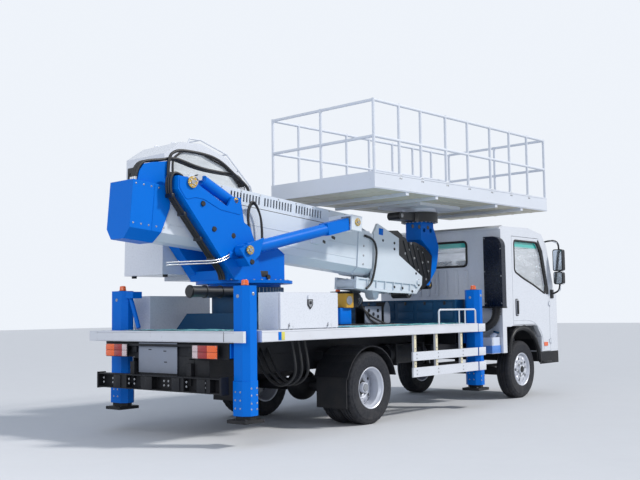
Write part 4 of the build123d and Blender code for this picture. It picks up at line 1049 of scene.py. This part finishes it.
# Platform: plate and ribs below, folded edges, rail feet, bars on the floor
plat = Kit()
PX0, PX1, PY = 1153, 4756, 789
plat.box(PX0 + 16, PX1 - 16, -PY + 16, PY - 16, 2448, 2450, UNDER, 0)
for x in range(1260, 4700, 190):
    plat.box(x, x + 34, -PY + 24, PY - 24, 2445, 2450, UNDER, 2)
for y in (-560, -280, 0, 280, 560):
    plat.box(PX0 + 24, PX1 - 24, y - 16, y + 16, 2442, 2450, UNDER, 2)
for side in (-1, 1):
    y = side * PY
    for z in (2462, 2616):
        plat.rod((PX0 + 4, y, z), (PX1 - 4, y, z), 5, FLOOR_WHITE, 6)
    for x in (1603, 1998, 2480, 2930, 3420, 3869, 4300):
        plat.box(x - 24, x + 24, *across(side, PY - 34, PY), 2612, 2640, RAIL_WHITE, 3)
        for dx in (-14, 14):
            plat.bolt((x + dx, y, 2590), (0, side, 0), 7, STEEL)
for k in range(70):
    x = PX0 + 40 + k * 50
    plat.box(x, x + 8, -PY + 20, PY - 20, 2509, 2512, GREY, 0.8)
plat.done("platform_ribs", "platform", TURRET)

# Winch and rest on the deck
winch = Kit()
winch.box(652, 786, -116, 116, 1186, 1350, YELLOW, 8)
for k in range(7):
    winch.rod((876 + 12 * k, 0, 1285), (882 + 12 * k, 0, 1285), 84 if k % 2 else 78, STEEL, 40)
winch.rod((966, 0, 1285), (976, 0, 1285), 86, GREY, 40)
winch.rod((700, -118, 1270), (700, -124, 1270), 50, STEEL, 28)
winch.box(1046, 1372, -78, -69, 1000, 1200, GREY, 3)
for x, z in ((1120, 1150), (1120, 1080), (1210, 1110), (1300, 1150), (1300, 1080)):
    winch.rod((x, -78, z), (x, -80, z), 22, SATIN, 24)
stand = [(1440, 1000), (1440, 1180), (1480, 1256), (1530, 1256), (1566, 1180), (1566, 1000)]
winch.prism(rounded(stand, 30), -66, -60, GREY)
winch.line([(980, -60, 1250), (1020, -110, 1120), (1100, -120, 1030), (1240, -130, 990)], 12, HOSE)
winch.line([(980, 40, 1250), (1040, -90, 1150), (1160, -112, 1060), (1380, -140, 990)], 12, HOSE)
winch.box(588, 792, -74, 74, 1000, 1186, BLUE, 4)
winch.done("winch_and_rest")

# Under the deck: pipes, tanks and brackets
under = Kit()
for k in range(3):
    x = -1180 + 90 * k
    loop = [(x, -900, 890), (x + 20, -930, 700), (x + 60, -900, 560), (x + 20, -820, 470),
            (x + 10, -700, 460), (x, -560, 560), (x, -450, 760), (x, -424, 800)]
    under.line(loop, 13, HOSE)
under.rod((780, -520, 660), (1500, -520, 660), 110, BLACK, 40)
for x in (860, 1400):
    under.box(x, x + 26, -640, -430, 540, 780, BLACK, 4)
under.box(1700, 1740, -560, -430, 560, 740, BLACK, 4)
for x in (2560, 2740):
    under.box(x - 8, x + 8, -902, -638, 598, 802, STEEL, 3)
under.box(2537, 2763, -903, -637, 604, 700, FLUID, 6)
under.rod((2720, -860, 850), (2722, -864, 872), 38, DARK_BLUE, 28)
under.done("under_deck_fittings")

# Camera, floor and light
YAW, PITCH, ROLL = math.radians(39.835), math.radians(4.422), math.radians(-0.771)
SENSOR = 36
FOCAL_PIXELS, WIDTH_PIXELS = 926.13, 640
forward = Vector((math.cos(YAW) * math.cos(PITCH), math.sin(YAW) * math.cos(PITCH), math.sin(PITCH)))
flat_right = Vector((math.sin(YAW), -math.cos(YAW), 0))
flat_up = flat_right.cross(forward)
right = flat_right * math.cos(ROLL) + flat_up * math.sin(ROLL)
up = flat_up * math.cos(ROLL) - flat_right * math.sin(ROLL)
cam = add("camera", bpy.data.cameras.new("camera"))
cam.data.sensor_width = SENSOR
cam.data.lens = FOCAL_PIXELS / WIDTH_PIXELS * SENSOR
cam.data.clip_end = 200
basis = Matrix((right, up, -forward)).transposed().to_4x4()
cam.matrix_world = Matrix.Translation((-8.570, -6.639, 1.147)) @ basis
bpy.context.scene.camera = cam

floor_mesh = bpy.data.meshes.new("floor")
floor_mesh.from_pydata([(-60, -60, 0), (60, -60, 0), (60, 60, 0), (-60, 60, 0)], [], [(0, 1, 2, 3)])
floor = add("floor", floor_mesh)
floor_mesh.materials.append(paint("floor_pale", (206, 208, 212), 0.8, vary=0.02, grain=8, bump=0.02, edge=0))


def light(name, kind, energy):
    obj = add(name, bpy.data.lights.new(name, kind))
    obj.data.energy = energy
    return obj


def aim(obj, way):
    obj.rotation_euler = Vector(way).to_track_quat("-Z", "Y").to_euler()


sun = light("sun", "SUN", 2.7)
sun.data.angle = math.radians(6)
sun.data.color = (1.0, 0.97, 0.92)
aim(sun, (-0.42, 0.66, -0.62))
fill = light("fill", "AREA", 420)
fill.data.size = 8
fill.location = (-11, -3, 6)
aim(fill, (11, 3, -4.5))
dome = light("cab_dome_light", "POINT", 16)
dome.data.shadow_soft_size = 0.12
dome.location = TRUCK @ Vector((3300, 0, 2060))

# A blue sky that lights the scene, and a pale one behind it for the camera and for glass and gloss
SKY = (0.62, 0.72, 0.88, 1)
PALE = (0.86, 0.9, 0.96, 1)
world = bpy.data.worlds.new("world")
bpy.context.scene.world = world
world.use_nodes = True
wt = world.node_tree
back = wt.nodes["Background"]
back.inputs["Color"].default_value = SKY
back.inputs["Strength"].default_value = 0.55
seen = wt.nodes.new("ShaderNodeBackground")
seen.inputs["Color"].default_value = PALE
mixer = wt.nodes.new("ShaderNodeMixShader")
rays = wt.nodes.new("ShaderNodeLightPath")
seen_by = rays.outputs["Is Camera Ray"]
for kind in ("Is Transmission Ray", "Is Glossy Ray"):
    either = wt.nodes.new("ShaderNodeMath")
    either.operation = "MAXIMUM"
    wt.links.new(seen_by, either.inputs[0])
    wt.links.new(rays.outputs[kind], either.inputs[1])
    seen_by = either.outputs[0]
wt.links.new(seen_by, mixer.inputs["Fac"])
wt.links.new(back.outputs[0], mixer.inputs[1])
wt.links.new(seen.outputs[0], mixer.inputs[2])
wt.links.new(mixer.outputs[0], wt.nodes["World Output"].inputs["Surface"])
bpy.context.scene.view_settings.view_transform = "Standard"
